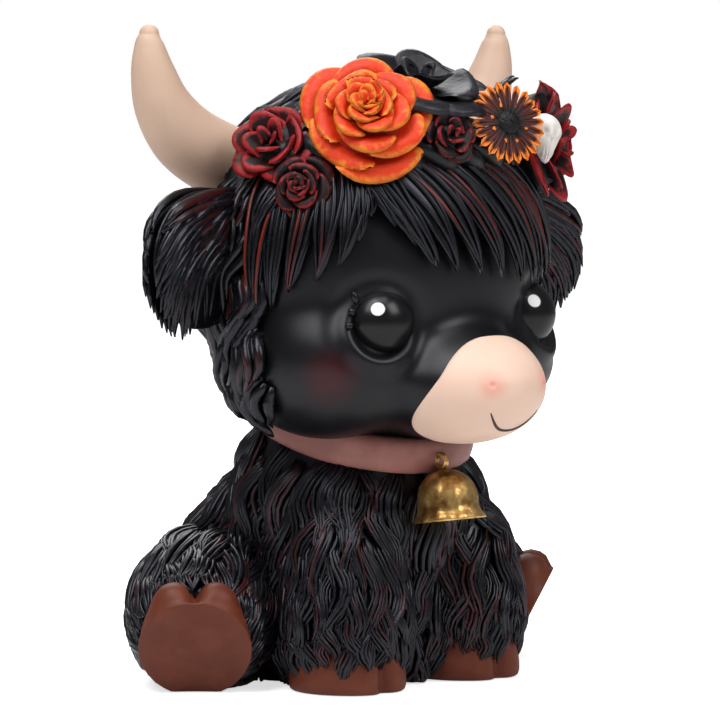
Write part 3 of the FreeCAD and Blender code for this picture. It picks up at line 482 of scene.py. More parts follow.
def locks(paths, outs, width, cords, arch=0.32, uneven=0.3, gather=FAN_SHARES,
          steps=CORD_STEPS, sides=CORD_SIDES, plump=0.62):
    """Cords side by side along each path: they fan out, run together and end unevenly.

    A cord's line is path + side (spread u fan + weave) width + out (1 - u^2) arch crown fan width,
    with u its place from -1 to 1 across the lock.
    """
    count, length, _ = paths.shape
    width = np.broadcast_to(np.asarray(width, float), (count,))[:, None, None]
    u = (np.linspace(-1, 1, cords) + jitter((count, cords), UNEVEN_PLACES / cords))[..., None]
    end = 1 - uneven * dice.random((count, cords, 1)) * (0.3 + 0.7 * np.abs(u))
    t = np.linspace(0, 1, steps) * end
    step = np.minimum((t * (length - 1)).astype(int), length - 2)
    part = (t * (length - 1) - step)[..., None]
    which = np.arange(count)[:, None, None]
    line = paths[which, step] * (1 - part) + paths[which, step + 1] * part
    out = unit(outs[which, step] * (1 - part) + outs[which, step + 1] * part)
    side = unit(np.cross(np.gradient(line, axis=2), out))
    fan = np.interp(t, FAN_PLACES, gather)
    weave = WEAVE * np.sin(t * 7 + dice.uniform(0, 6, (count, cords, 1)))
    across = (u * fan * SPREAD + weave) * width
    rise = (1 - np.minimum(u ** 2, 1)) * arch * width * CROWN * fan
    rise = rise + jitter((count, cords, 1), SCATTER) * width
    line = line + side * across[..., None] + out * rise[..., None]
    radius = width / cords * plump * np.interp(t / end, CORD_PLACES, CORD_SHARES)
    section = round_section(sides, math.pi / 2)
    flat = (count * cords, steps)
    radius = radius.reshape(flat)
    rings = sweep(line.reshape(*flat, 3), out.reshape(*flat, 3), radius, OVAL * radius, section)
    high = np.clip(section[:, 1] * 0.7 + 0.3, 0, 1)
    return skins(rings, painted(rings, high, t.reshape(flat)[..., None]))


def broad_locks(paths, outs, width, thick):
    """One smooth flat lock along each path: an oval section that swells and tapers by shares."""
    count, length, _ = paths.shape
    t = np.linspace(0, 1, length)
    share = np.interp(t, BROAD_PLACES, BROAD_SHARES) * np.ones((count, 1))
    section = round_section(BROAD_SIDES, math.pi / 2)
    half_wide = share * np.broadcast_to(width, (count,))[:, None] / 2
    rings = sweep(paths, outs, half_wide, share * thick, section)
    return skins(rings, painted(rings, np.clip(section[:, 1] * 0.5, 0, 1), t[:, None]))


# %% Combing
PHASE_PER_MM = np.array([0.11, 0.09, 0.14])


def comb(clay, roots, flow, length, sway, waves, lift, wild=0.25):
    """Paths over the clay: step along the flow, add a sine sway sideways, and settle again."""
    count = len(roots)
    length = np.broadcast_to(np.asarray(length, float), (count,))
    phase = roots @ PHASE_PER_MM + dice.normal(0, wild, count)
    curl = dice.normal(0, wild * sway, count)
    point = settled(clay, roots, np.full(count, lift[0]))
    path, outs = [point], [outward(clay, point)]
    for k in range(1, LOCK_STEPS):
        t = k / (LOCK_STEPS - 1)
        normal = outward(clay, point)
        way = flow(point, t)
        way = unit(way - normal * (way * normal).sum(-1, keepdims=True))
        side = np.cross(normal, way)
        turn = sway * np.sin(phase + waves * 2 * math.pi * t) + curl * t
        way = unit(way + side * turn[:, None])
        height = np.interp(t, (0, 0.45, 1), lift)
        ahead = point + way * (length / (LOCK_STEPS - 1))[:, None]
        point = settled(clay, ahead, np.full(count, height), 3)
        path.append(point)
        outs.append(outward(clay, point))
    return np.stack(path, 1), np.stack(outs, 1)


# %% [markdown]
# The coat's paint is black with a satin varnish. A brush with almost no paint on it has been
# dragged over it, and left russet on the high strands only. The grey on the high strands is a
# painted sheen, colour that stands in for the light on their tops. The ridge value of each point,
# broken up by a noise, is where such a brush touches and where the painted sheen lies.

# %% The coat's paint
# The grey is a painted sheen for the tops of the strands; the russet is dry-brushed paint.
COAT_BLACK, PAINTED_SHEEN_GREY, COAT_RUSSET = (0.0022, 0.0022, 0.003), (0.022, 0.021, 0.028), (0.2, 0.02, 0.009)


def coat_paint(name, russet, sheen_strength, lots, level, spots):
    """Black in the grooves, russet and a painted grey sheen on the ridges: mask = high ridge * noise above a
    level.
    """
    paint = Paint(name, specular_ior_level=0.4, specular_tint=(0.86, 0.88, 1.0))
    ridge, along, lot = paint.form()
    patchy = paint.noise(spots, 2).between(0.42, 0.58)
    fine = paint.noise(900, 3)
    high = ridge.between(level, 1.0) * fine.between(0.38, 0.62)
    red = ridge.between(level, 1.0) * patchy * lot.between(lots, lots + 0.08) * russet
    # Painted sheen: grey on the ridge tops, away from the roots, as the light that a satin coat catches
    # there.
    painted_sheen = high * along.between(0.05, 0.5) * sheen_strength
    colour = paint.blend(red, paint.blend(painted_sheen, COAT_BLACK, PAINTED_SHEEN_GREY), COAT_RUSSET)
    paint.set(base_color=colour, roughness=0.22 + paint.noise(260) * 0.16,
              normal=paint.relief(paint.noise(1500, 4), 0.08, 0.35))
    return paint


coat = coat_paint("coat", 0.22, 0.5, 0.72, 0.5, 60)
fringe_coat = coat_paint("fringe_coat", 0.85, 0.3, 0.66, 0.72, 32)
print("coat paints:", coat.material.name, fringe_coat.material.name)

# %% [markdown]
# The body: chest, belly, rump and neck. Hair falls from the collar, down the chest, back along
# the flanks and round the rump. Its roots are spread evenly on the skin by the golden angle. Each
# lock starts under the skin and comes out of it, so it lies over the roots of those below.

# %% The body
BODY = Clay([((0, -9, 36), (25.5, 24.5, 25)), ((0, 7, 17), (31, 25, 26)), ((0, -9, 12), (26, 22, 22)),
             ((0, -12, 53.6), (20, 20, 16))], growth=0.8, foot=(0.0, 0.0), top=(-12.0, 53.6),
            shares=(0, 0.12, 0.25, 0.38, 0.51, 0.64, 0.76, 0.88, 1), girth=56.5,
            depths=(2.2,) * 6 + (1.8, 0.7, 0))
GOLDEN = math.pi * (3 - math.sqrt(5))
DIP = math.radians(15.0)
COLLAR_MIDDLE = np.array([0, -12.0, 54.9])
LOWEST_ROOT, UNDER_COLLAR = 8.0, 1.1


def scattered(clay, centre, count, low, high):
    """Even spread of rays by the golden angle: height steps evenly and each point turns on."""
    k = np.arange(count) + 0.5
    height = high + (low - high) * k / count
    flat = np.sqrt(1 - height ** 2)
    rays = np.stack([flat * np.cos(GOLDEN * k), flat * np.sin(GOLDEN * k), height], -1)
    return cast_rays(clay, np.asarray(centre, float), rays)


def body_flow(point, t):
    """Away from the nape and down."""
    away = point - np.array([0, -13, 72])
    return unit(away * np.array([1, 1, 0.6])) + np.array([0, 0, -0.8])


roots = scattered(BODY, (0, 0, 30), 266, -0.5, 0.975)
neckline = COLLAR_MIDDLE[2] - UNDER_COLLAR + math.tan(DIP) * (roots[:, 1] - COLLAR_MIDDLE[1])
roots = roots[(roots[:, 2] > LOWEST_ROOT) & (roots[:, 2] < neckline)]
paths, outs = comb(BODY, roots, body_flow, 24 + jitter(len(roots), 6), 0.55, 1.1, (-1.2, 0.8, 0.5))
body_hair = locks(paths, outs, 7.0 + jitter(len(roots), 1.3), 7, arch=0.46)
body_skin = skins(ball(BODY, (0, 0, 28), 44, 110, -0.5)[None])
piece("coat_body", [body_skin, body_hair], coat, "black_coat", "body")

# %% [markdown]
# Each foreleg is a shaggy column. Its hair starts at the shoulder and ends in ragged points over
# the hoof, in tiers: short locks at the bottom and longer ones higher up. The lowest stand off
# at their tips, so that the hair ends in little hooks round the hoof.


# %% The forelegs
def foreleg_clay(side):
    """Three masses from the hoof to the shoulder."""
    return Clay([((side * 16.6, -25.2, 13), (12.5, 12.5, 16)), ((side * 15.8, -23.4, 24), (11.3, 11.8, 14)),
                 ((side * 13.8, -19.0, 37), (9.2, 10.4, 13))])


# Each tier of hair: its share of the leg's height, how many locks, their length and their width.
LEG_TIERS = ((0.2, 19, 9.5, 4.2), (0.32, 17, 14, 4.6), (0.46, 16, 20, 5.0), (0.62, 15, 24, 5.2),
             (0.76, 13, 26, 5.4), (0.88, 12, 28, 5.4), (0.97, 10, 28, 5.4), (1.0, 8, 24, 5.4))
HIGHEST_ROOT, LOWEST_TIP, LEG_CORE_FOOT = 0.97, 3.4, 5.0


def leg_hair(side):
    """Tiers of locks that fall and turn a little round the leg, each tier by an amount of its own."""
    clay = foreleg_clay(side)
    low, high = np.array([side * 16.6, -25.2, 4.0]), np.array([side * 14.2, -19.0, 50.0])
    shells = []
    for k, (height, count, length, width) in enumerate(LEG_TIERS):
        turn = (np.arange(count) + k * 0.37) / count * 2 * math.pi
        rays = np.stack([np.sin(turn), -np.cos(turn), np.zeros(count)], -1)
        roots = cast_rays(clay, low + (high - low) * min(height, HIGHEST_ROOT), rays)
        roots = roots + np.stack([jitter(count, 0.6), jitter(count, 0.6), jitter(count, 2.0)], -1)

        def flow(point, t):
            around = np.cross(UP, point - np.array([side * 16.0, -24.5, 0]))
            twist = math.sin(k * 1.9) * 0.22
            return np.array([0, 0, -1.0]) + unit(around * np.array([1, 1, 0])) * twist

        flare = (-0.8, 0.6, 1.1) if k == 0 else (-0.8, 0.7, 0.3)
        paths, outs = comb(clay, roots, flow, length + jitter(count, 3), 0.58, 1.15, flare)
        paths[..., 2] = np.maximum(paths[..., 2], LOWEST_TIP + jitter(count, 0.9)[:, None])
        shells.append(locks(paths, outs, width + jitter(count, 0.9), 7, arch=0.66))
    return shells


def leg_core(side):
    """The smooth leg under its hair, a skin shrunk a little and stopped above the hoof."""
    points = ball(foreleg_clay(side), (side * 16.4, -24.0, 26.0), 40, 48, -0.4)
    points[..., 2] = np.maximum(points[..., 2], LEG_CORE_FOOT)
    return skins(points[None])


for name, side in SIDES.items():
    piece(f"coat_{name}_foreleg", [leg_core(side)] + leg_hair(side), coat, "black_coat", f"{name}_foreleg")

# %% [markdown]
# The hind legs lie splayed on the ground, their soles turned forwards and out. Their hair runs
# along the leg towards the foot and falls to both sides, so it frames the sole like a ruff.

# %% The hind legs
FOOT_TURN, SOLE_TILT = math.radians(42.0), math.radians(27.0)
print("soles turned out", round(math.degrees(FOOT_TURN)), "degrees")


def foot_axes(side):
    """The way the foot points, the sole's normal, the way across the toes, and up the sole."""
    ahead = np.array([side * math.sin(FOOT_TURN), -math.cos(FOOT_TURN), 0.0])
    sole = ahead * math.cos(SOLE_TILT) - UP * math.sin(SOLE_TILT)
    across = unit(np.cross(ahead, UP))
    return ahead, sole, across, np.cross(across, sole)


def foot_face(side):
    """The middle of the sole."""
    ahead, sole = foot_axes(side)[:2]
    return np.array([side * 43.0, -7.0, 12.6]) + ahead * 3.4 - UP * 1.6 + sole * 3.4


def hind_clay(side):
    """Four balls along the line from hip to ankle, with the line's two ends."""
    hip, ankle = np.array([side * 24.0, 9.0, 17.0]), np.array([side * 42.0, -6.0, 12.9])
    masses = []
    for way, radius in ((0.1, 15.2), (0.4, 15.6), (0.7, 14.2), (0.92, 12.5)):
        masses.append((tuple(hip + (ankle - hip) * way), (radius, radius, radius)))
    return Clay(masses), hip, ankle


def behind_sole(points, side, gap):
    """Points past a plane that lies behind the sole are laid back onto it."""
    sole = foot_axes(side)[1]
    past = np.maximum((points - foot_face(side)) @ sole + gap, 0.0)
    return points - past[..., None] * sole


# %% The hind legs' hair
# Each tier: its share of the way from hip to ankle, how many locks, their length and their width.
HIND_TIERS = ((0.98, 20, 8, 5.0), (0.74, 18, 15, 5.6), (0.46, 17, 21, 6.2),
              (0.16, 15, 25, 6.6), (-0.15, 13, 27, 6.8), (-0.45, 9, 24, 6.6))
ABOVE_GROUND, HAIR_BEHIND, CORE_BEHIND, LOWEST_HAIR = 2.0, 2.0, 6.0, 0.9


def hind_hair(side):
    """Tiers of locks along the leg, from rings of rays square to it; the last start on the rump."""
    clay, hip, ankle = hind_clay(side)
    across, leg = foot_axes(side)[2], unit(ankle - hip)

    def flow(point, t):
        return leg + np.array([0, 0, -0.5])

    shells = []
    for k, (way, count, length, width) in enumerate(HIND_TIERS):
        turn = (np.arange(count) + k * 0.4) / count * 2 * math.pi
        rays = across * np.cos(turn)[:, None] + UP * np.sin(turn)[:, None]
        rays = unit(rays - leg * (rays @ leg)[:, None] - leg * max(0.0, -way))
        roots = cast_rays(clay, hip + (ankle - hip) * max(way, 0.05), rays)
        keep = roots[:, 2] > ABOVE_GROUND
        roots = roots[keep] + dice.normal(0, 0.5, (keep.sum(), 3))
        paths, outs = comb(clay, roots, flow, length + jitter(len(roots), 2.5), 0.42, 0.8, (-1.0, 0.4, 0.4))
        paths = behind_sole(paths, side, HAIR_BEHIND)
        paths[..., 2] = np.maximum(paths[..., 2], LOWEST_HAIR)
        shells.append(locks(paths, outs, width + jitter(len(roots), 0.9), 7, arch=0.46))
    return shells


for name, side in SIDES.items():
    clay, hip, ankle = hind_clay(side)
    core = behind_sole(ball(clay, (hip + ankle) / 2, 44, 64, -0.8), side, CORE_BEHIND)
    shells = [skins(core[None])] + hind_hair(side)
    piece(f"coat_{name}_hind_leg", shells, coat, "black_coat", f"{name}_hind_leg")

# %% [markdown]
# Hooves are painted a plain red-brown. The front ones are low drums with a cleft in front; the
# hind ones show a flat sole with a notch on top, and two toes that swell over its edge.
# Both are a profile turned round an axis, with the cleft pressed in by a narrow bell curve.

# %% The hooves' paint
hoof_paint = Paint("hoof", specular_ior_level=0.28)
worn = hoof_paint.noise(170, 4).between(0.35, 0.7)
hoof_paint.set(base_color=hoof_paint.blend(worn, (0.115, 0.024, 0.01), (0.15, 0.034, 0.015)),
               roughness=0.42 + hoof_paint.noise(420) * 0.16,
               normal=hoof_paint.relief(hoof_paint.noise(320, 5), 0.3, 0.35))
print("hooves' paint:", hoof_paint.material.name)

# %% The hooves
FORE_RADIUS, HIND_RADIUS, HOOF_SIDES, CLEFT_WIDTH = 12.4, 11.9, 96, 0.13


def bell_curve(x, width):
    """exp(-(x / width)^2)"""
    return np.exp(-(x / width) ** 2)


def fore_hoof(side):
    """A drum, rounded at the sole and drawn in above by its shares, less the cleft."""
    height = np.array([0.0, 0.0, 0.3, 1.2, 2.6, 4.4, 6.4, 8.6, 10.2, 10.8])
    share = np.array([0.6, 0.955, 0.985, 1.0, 1.0, 0.985, 0.965, 0.94, 0.86, 0.6])
    turn = np.linspace(0, 2 * math.pi, HOOF_SIDES + 1)[:-1]
    ahead = np.angle(np.exp(1j * turn))
    radius = FORE_RADIUS * share[:, None] * np.ones(len(turn))
    notch = 2.3 * bell_curve(ahead, CLEFT_WIDTH) - 0.55 * bell_curve(np.abs(ahead) - 0.42, 0.26)
    radius -= notch * np.interp(height, (0, 1.2, 10.8), (0.6, 1.0, 1.0))[:, None]
    rings = np.stack([side * 16.6 + radius * np.sin(turn), -25.2 - radius * np.cos(turn),
                      height[:, None] * np.ones(len(turn))], -1)
    return skins(rings[None])


def hind_hoof(side):
    """A drum along the sole's normal: flat in front, with two toes beside the cleft on top."""
    ahead, sole, across, rise = foot_axes(side)
    depth = np.array([-9.5, -8.6, -6.5, -4.5, -2.8, -1.5, -0.5, -0.1, 0.0, 0.0])
    share = np.array([0.7, 0.86, 0.95, 0.97, 0.975, 0.985, 1.0, 0.995, 0.975, 0.5])
    turn = np.linspace(0, 2 * math.pi, HOOF_SIDES + 1)[:-1]
    top = np.angle(np.exp(1j * (turn - math.pi / 2)))
    radius = HIND_RADIUS * share[:, None] * np.ones(len(turn))
    swell = np.interp(depth, (-9.5, -6, -3.4, -1.8, -0.9, 0), (1.2, 2.6, 2.8, 1.7, 0, 0))[:, None]
    cleft = np.interp(depth, (-9.5, -1.8, -0.9, 0), (3.0, 2.7, 0.5, 0.3))[:, None]
    radius += swell * bell_curve(np.abs(top) - 0.46, 0.39)
    radius -= cleft * bell_curve(top, CLEFT_WIDTH)
    face = foot_face(side) + (sole * 1.4 + ahead * 0.8 if side > 0 else 0)
    rings = (face + sole * depth[:, None, None] + across * (radius * np.cos(turn))[..., None]
             + rise * (radius * np.sin(turn))[..., None])
    return skins(rings[None])


for name, side in SIDES.items():
    piece(f"hoof_{name}_fore", [fore_hoof(side)], hoof_paint, "hoof_paint", f"{name}_fore_hoof")
    piece(f"hoof_{name}_hind", [hind_hoof(side)], hoof_paint, "hoof_paint", f"{name}_hind_hoof")

# %% [markdown]
# The face is left smooth, for contrast with the hair. It is the clay of skull, cheeks, jaw and
# snout seen from inside, with a ring pressed in round each eye and a soft lid raised beyond it.
# The snout melts in more softly than the rest, so the bridge of the nose has no crease.

# %% The head
SKULL = ((0, -16, 88), (38, 31.5, 36))
JAW = ((0, -22, 69), (28, 22, 17))
SNOUT = ((0, -43.8, 64.3), np.array([15.3, 17.6, 11.5]), 5.5)
CHEEKS = [((side * 19.9, -21.6, 69.6), (18.6, 22.4, 17)) for side in SIDES.values()]
HEAD = Clay([SKULL, JAW] + CHEEKS, -0.5, soft=SNOUT)
EYE_RADIUS, EYE_PROUD, EYE_HEIGHT = 7.4, 2.7, 76.9
EYE_OUT = {-1: 22.4, 1: 25.6}


def eye_centre(side):
    """The eyeball's centre, and the skin in front of it, from where it lies towards the skull's middle."""
    middle = np.array(SKULL[0])
    skin = cast_rays(HEAD, np.array([side * EYE_OUT[side], middle[1], EYE_HEIGHT]), FRONT)
    return skin + unit(middle - skin) * (EYE_RADIUS - EYE_PROUD), skin


head_points = ball(HEAD, (0, -26, 80), 230, 340)
head_out = outward(HEAD, head_points)
edge = math.sqrt(EYE_RADIUS ** 2 - (EYE_RADIUS - EYE_PROUD) ** 2)
for side in SIDES.values():
    centre, skin = eye_centre(side)
    gap = np.linalg.norm(head_points - skin, axis=-1)
    press = 0.5 * bell_curve(gap - edge - 1.5, 1.5) - 0.3 * bell_curve(gap - edge - 4.6, 1.8)
    press -= 1.5 / (1 + np.exp((gap - edge) / 0.3))
    head_points = head_points + head_out * press[..., None]
print("radius of the eyes' edge:", round(edge, 2), "mm")

# %% The face's paint
face_paint = Paint("face", specular_ior_level=0.34, specular_tint=(0.93, 0.94, 1.0))
blush = face_paint.near((-31.5, -36.5, 67.0), 4.2, 4.2) + face_paint.near((31.5, -36.5, 67.0), 4.2, 4.2)
face_paint.set(base_color=face_paint.blend(blush * 0.6, (0.003, 0.003, 0.004), (0.07, 0.004, 0.004)),
               roughness=0.34 + face_paint.noise(60) * 0.08,
               normal=face_paint.relief(face_paint.noise(500, 3), 0.1, 0.12))
piece("head_face", [skins(head_points[None])], face_paint, "black_coat", "head")

# %% [markdown]
# The eyes are balls let into the sockets: black gloss paint with one white dot, set a little
# towards the top. Three short lashes are modelled beside the outer corner.

# %% The eyes' paint
eye_paint = Paint("eye", roughness=0.27, specular_ior_level=0.3)
picture_right = np.array([math.cos(AZIMUTH), math.sin(AZIMUTH), 0.0])
picture_up = np.cross(towards_camera, picture_right)
DOTS, DOT_RADIUS, DOT_EDGE = {-1: (-0.4, 2.6), 1: (2.6, 2.7)}, 1.45, 0.12
dots = 0
for side in SIDES.values():
    across, rise = DOTS[side]
    toward = math.sqrt(EYE_RADIUS ** 2 - across ** 2 - rise ** 2)
    dot = eye_centre(side)[0] + picture_right * across + picture_up * rise + towards_camera * toward
    dots = eye_paint.near(dot, DOT_RADIUS, DOT_EDGE) + dots
eye_paint.set(base_color=eye_paint.blend(dots, (0.006, 0.006, 0.007), (0.86, 0.86, 0.86)))
print("white dots:", 2 * DOT_RADIUS, "mm across")

# %% The eyes and lashes
for name, side in SIDES.items():
    centre, skin = eye_centre(side)
    eyeball = ball(Clay([(tuple(centre), (EYE_RADIUS,) * 3)]), centre, 40, 64)
    piece(f"eye_{name}", [skins(eyeball[None])], eye_paint, "eye_gloss", f"{name}_eye")
    lashes = []
    for k in range(3):
        base = settled(HEAD, skin + np.array([side * (5.9 + 0.6 * k), 0, 5.4 - 1.8 * k]), 0.5)
        tip = settled(HEAD, base + np.array([side * (1.1 + 0.5 * k), 0, 2.6 - 1.3 * k]), 0.9)
        t = np.linspace(0, 1, 10)[:, None]
        lashes.append(skins(tube(base + (tip - base) * t, 0.8 * np.sin(0.35 + 2.5 * t[:, 0]) ** 0.8, 12)))
    piece(f"lashes_{name}", lashes, eye_paint, "eye_gloss")

# %% [markdown]
# The pink of the snout is one patch with a clean edge. It is a disc of rays from inside the
# snout: each ray's angle from straight ahead is a share of the angle of the outline, and
# the patch stands a hair above the black. The nostrils are only dimples with airbrushed pink.

# %% The muzzle
SNOUT_CORE = np.array([0, -34.0, 65.4])
# The patch's outline from top to bottom: how far out and up, in shares of the two sizes below.
OUTLINE = ((0, 0.76), (0.4, 0.67), (0.67, 0.38), (0.81, 0.0), (0.86, -0.4), (0.71, -0.78), (0.43, -1.0),
           (0, -1.08))
OUTLINE_WIDE, OUTLINE_HIGH, START_DEPTH = 18, 12.8, -40.0
PATCH_LIFT, PATCH_BACK, SMOOTHING = 0.42, 1.2, 5


def muzzle_edge(turn):
    """Angle from straight ahead of the patch's edge, read from its outline's corners."""
    x = np.array([wide * OUTLINE_WIDE for wide, _ in OUTLINE])
    z = np.array([SNOUT_CORE[2] + high * OUTLINE_HIGH for _, high in OUTLINE])
    skin = cast_rays(HEAD, np.stack([x, np.full(len(x), START_DEPTH), z], -1), FRONT)
    rays = unit(skin - SNOUT_CORE)
    corner_turn = np.arctan2(rays[:, 0], rays[:, 2])
    return np.interp(np.abs(turn), corner_turn, np.arccos(-rays[:, 1]))


turn = np.linspace(-math.pi, math.pi, 129)[:-1]
edge = muzzle_edge(turn)
edge = sum(np.roll(edge, k) for k in range(-SMOOTHING, SMOOTHING + 1)) / (2 * SMOOTHING + 1)
share = np.concatenate([np.linspace(0.02, 0.9, 40), np.linspace(0.92, 1.0, 8)])
angle = share[:, None] * edge
rays = np.stack([np.sin(angle) * np.sin(turn), -np.cos(angle), np.sin(angle) * np.cos(turn)], -1)
patch = cast_rays(HEAD, SNOUT_CORE, rays)
patch_out = outward(HEAD, patch)
lift = PATCH_LIFT * np.sqrt(np.clip((1 - share) / 0.06, 0, 1)) - 0.12
nostrils = [cast_rays(HEAD, SNOUT_CORE, unit(np.array([side * 6.7, -24.0, 0.2]))) for side in SIDES.values()]
for nostril in nostrils:
    gap = np.linalg.norm(patch - nostril, axis=-1)
    patch = patch + patch_out * (0.55 * bell_curve(gap, 1.5) - 0.7 * bell_curve(gap, 0.55))[..., None]
patch_front = patch + patch_out * lift[:, None, None]
patch_back = patch - patch_out * PATCH_BACK
muzzle_rings = np.concatenate([patch_front, patch_back[::-1]])
print("muzzle patch:", muzzle_rings.shape[0], "rings")

# %% The muzzle's paint
muzzle_paint = Paint("muzzle", specular_ior_level=0.35)
flush = 0
for nostril in nostrils:
    flush = muzzle_paint.near(nostril, 2.3, 2.1) + flush
mottle = muzzle_paint.noise(38, 3).between(0.3, 0.75)
skin_tone = muzzle_paint.blend(mottle, (0.79, 0.55, 0.43), (0.83, 0.6, 0.48))
muzzle_paint.set(base_color=muzzle_paint.blend(flush * 0.6, skin_tone, (0.86, 0.3, 0.24)),
                 roughness=0.46, normal=muzzle_paint.relief(muzzle_paint.noise(350, 3), 0.08, 0.2))
piece("muzzle_pink", [skins(muzzle_rings[None])], muzzle_paint, "muzzle_paint", "muzzle")

# %% The mouth line
SMILE_HALF, SMILE_LOW, SMILE_RISE, LINE_RADIUS = 6.6, 56.0, 4.0, 0.4
x = np.linspace(-SMILE_HALF, SMILE_HALF, 40)
smile = np.stack([x, np.full(40, START_DEPTH), SMILE_LOW + SMILE_RISE * np.abs(x / SMILE_HALF) ** 2.3], -1)
smile = cast_rays(HEAD, smile, FRONT)
smile = smile + outward(HEAD, smile) * 0.2
line_paint = Paint("mouth_line", base_color=(0.035, 0.014, 0.012), roughness=0.5)
thick = LINE_RADIUS * (1 - 0.6 * np.abs(x / SMILE_HALF) ** 3)
piece("mouth", [skins(tube(smile, thick, 10))], line_paint, "eye_gloss")

# %% [markdown]
# The horns leave the head sideways and turn up, in one upright plane just behind the ears. Their
# middle line is a few points smoothed into a curve, and a round section shrinks along it.


# %% The horns' line
def smooth_line(points, count):
    """A curve through all points: each span is a cubic whose slopes come from the neighbours."""
    points = np.asarray(points, float)
    padded = np.concatenate([[2 * points[0] - points[1]], points, [2 * points[-1] - points[-2]]])
    s = np.linspace(0, len(points) - 1 - TINY, count)
    k = s.astype(int)
    f = (s - k)[:, None]
    a, b, c, d = padded[k], padded[k + 1], padded[k + 2], padded[k + 3]
    return 0.5 * (2 * b + (c - a) * f + (2 * a - 5 * b + 4 * c - d) * f ** 2
                  + (3 * b - a - 3 * c + d) * f ** 3)


# %% The horns' paint
horn_paint = Paint("horn", specular_ior_level=0.3)
stain = horn_paint.noise(55, 4).between(0.55, 0.8) * 0.35
height = horn_paint.node("ShaderNodeSeparateXYZ", {}, horn_paint.place(), outlet="Z")
# Darker towards the root: up to half way to dark brown below about 106 mm up, fading out by 118 mm.
darker_root = (1 - height.between(0.106, 0.118)) * 0.5
bone = horn_paint.blend(stain, (0.62, 0.43, 0.32), (0.5, 0.3, 0.2))
horn_paint.set(base_color=horn_paint.blend(darker_root, bone, (0.3, 0.17, 0.12)), roughness=0.5,
               normal=horn_paint.relief(horn_paint.noise(240, 4), 0.15, 0.3))
print("horns' paint:", horn_paint.material.name)

# %% The horns
HORN_OUT = (24.0, 31.6, 39.8, 45.7, 48.5, 49.5, 49.5)
HORN_UP = (109.5, 111.9, 116.3, 122.8, 129.9, 135.5, 138.0)
HORN_THICK = (8.0, 7.95, 7.4, 6.15, 4.7, 3.2, 2.1)
HORN_STEPS, HORN_SIDES, FAR_HORN_MORE = 60, 48, 1.1
TIP_STEPS, TIP_START, TIP_LENGTH = 8, 0.15, 2.0
for name, side in SIDES.items():
    apart = np.linspace(0, FAR_HORN_MORE, len(HORN_OUT)) * (side > 0)
    line = smooth_line([(side * x + more, 0, z) for x, z, more in zip(HORN_OUT, HORN_UP, apart)], HORN_STEPS)
    thick = smooth_line([(r, 0, 0) for r in HORN_THICK], HORN_STEPS)[:, 0]
    round_end = np.sin(np.linspace(TIP_START, math.pi / 2, TIP_STEPS))[:, None]
    tip = line[-1] + unit(line[-1] - line[-2]) * TIP_LENGTH * round_end
    cap = thick[-1] * np.cos(np.linspace(TIP_START, math.pi / 2 * 0.97, TIP_STEPS))
    horn = tube(np.concatenate([line, tip]), np.concatenate([thick, cap]), HORN_SIDES)
    piece(f"horn_{name}_paint", [skins(horn)], horn_paint, "horn_paint", f"{name}_horn")

# %% [markdown]
# The collar is a flat strap laid round the neck, mauve-brown and matt. Its section is turned
# about an axis that leans forward, and a slow wave keeps it from looking machined.

# %% The collar
COLLAR_UP = np.array([0, -math.sin(DIP), math.cos(DIP)])
COLLAR_AHEAD = np.array([0, -math.cos(DIP), -math.sin(DIP)])
# The strap's section: distances from the axis and heights over the middle.
STRAP = np.array([(20.5, -3.6), (22.2, -4.0), (23.2, -3.8), (23.9, -3.0), (24.15, -1.4), (24.2, 0.2),
                  (24.1, 1.6), (23.8, 2.8), (23.0, 3.5), (22.0, 3.7), (20.5, 3.4), (19.8, 0)])
turn = np.linspace(0, 2 * math.pi, 161)[:-1]
out = np.cos(turn)[:, None] * COLLAR_AHEAD + np.sin(turn)[:, None] * LEFT
wave = 0.18 * np.sin(3 * turn + 0.7) + 0.1 * np.sin(7 * turn)
collar_rings = (COLLAR_MIDDLE + out[:, None, :] * (STRAP[:, 0] + wave[:, None] * 0.5)[..., None]
                + COLLAR_UP * (STRAP[:, 1] + wave[:, None])[..., None])
collar_paint = Paint("collar", specular_ior_level=0.35, roughness=0.5)
rubbed = collar_paint.noise(85, 4).between(0.38, 0.72)
collar_paint.set(base_color=collar_paint.blend(rubbed, (0.26, 0.098, 0.082), (0.37, 0.155, 0.13)),
                 normal=collar_paint.relief(collar_paint.noise(300, 5), 0.25, 0.4))
piece("collar_strap", [hoop(collar_rings)], collar_paint, "collar_paint", "collar")

# %% [markdown]
# The bell is a cast dome with a flared lip, painted an antique gold, which a noise breaks up into
# bright and brown patches. Its wall is a profile of radii against depth, turned about the way it
# hangs, and small dents from the mould are in the radii.

# %% The bell's paint
gold = Paint("antique_gold", specular_ior_level=0.5, metallic=0.85)
patina = gold.noise(140, 5, roughness=0.65).between(0.36, 0.66)
gold.set(base_color=gold.blend(patina, (0.2, 0.09, 0.022), (0.85, 0.55, 0.19)),
         roughness=0.22 + gold.noise(300) * 0.22, normal=gold.relief(gold.noise(230, 3), 0.6, 0.7))
print("bell's paint:", gold.material.name)

# %% The bell
LEAN = math.radians(9.0)
HANG = np.array([0, -math.sin(LEAN), -math.cos(LEAN)])
BELL_AHEAD = np.array([0, -math.cos(LEAN), math.sin(LEAN)])
BELL_TOP = np.array([0, -36.2, 48.65])
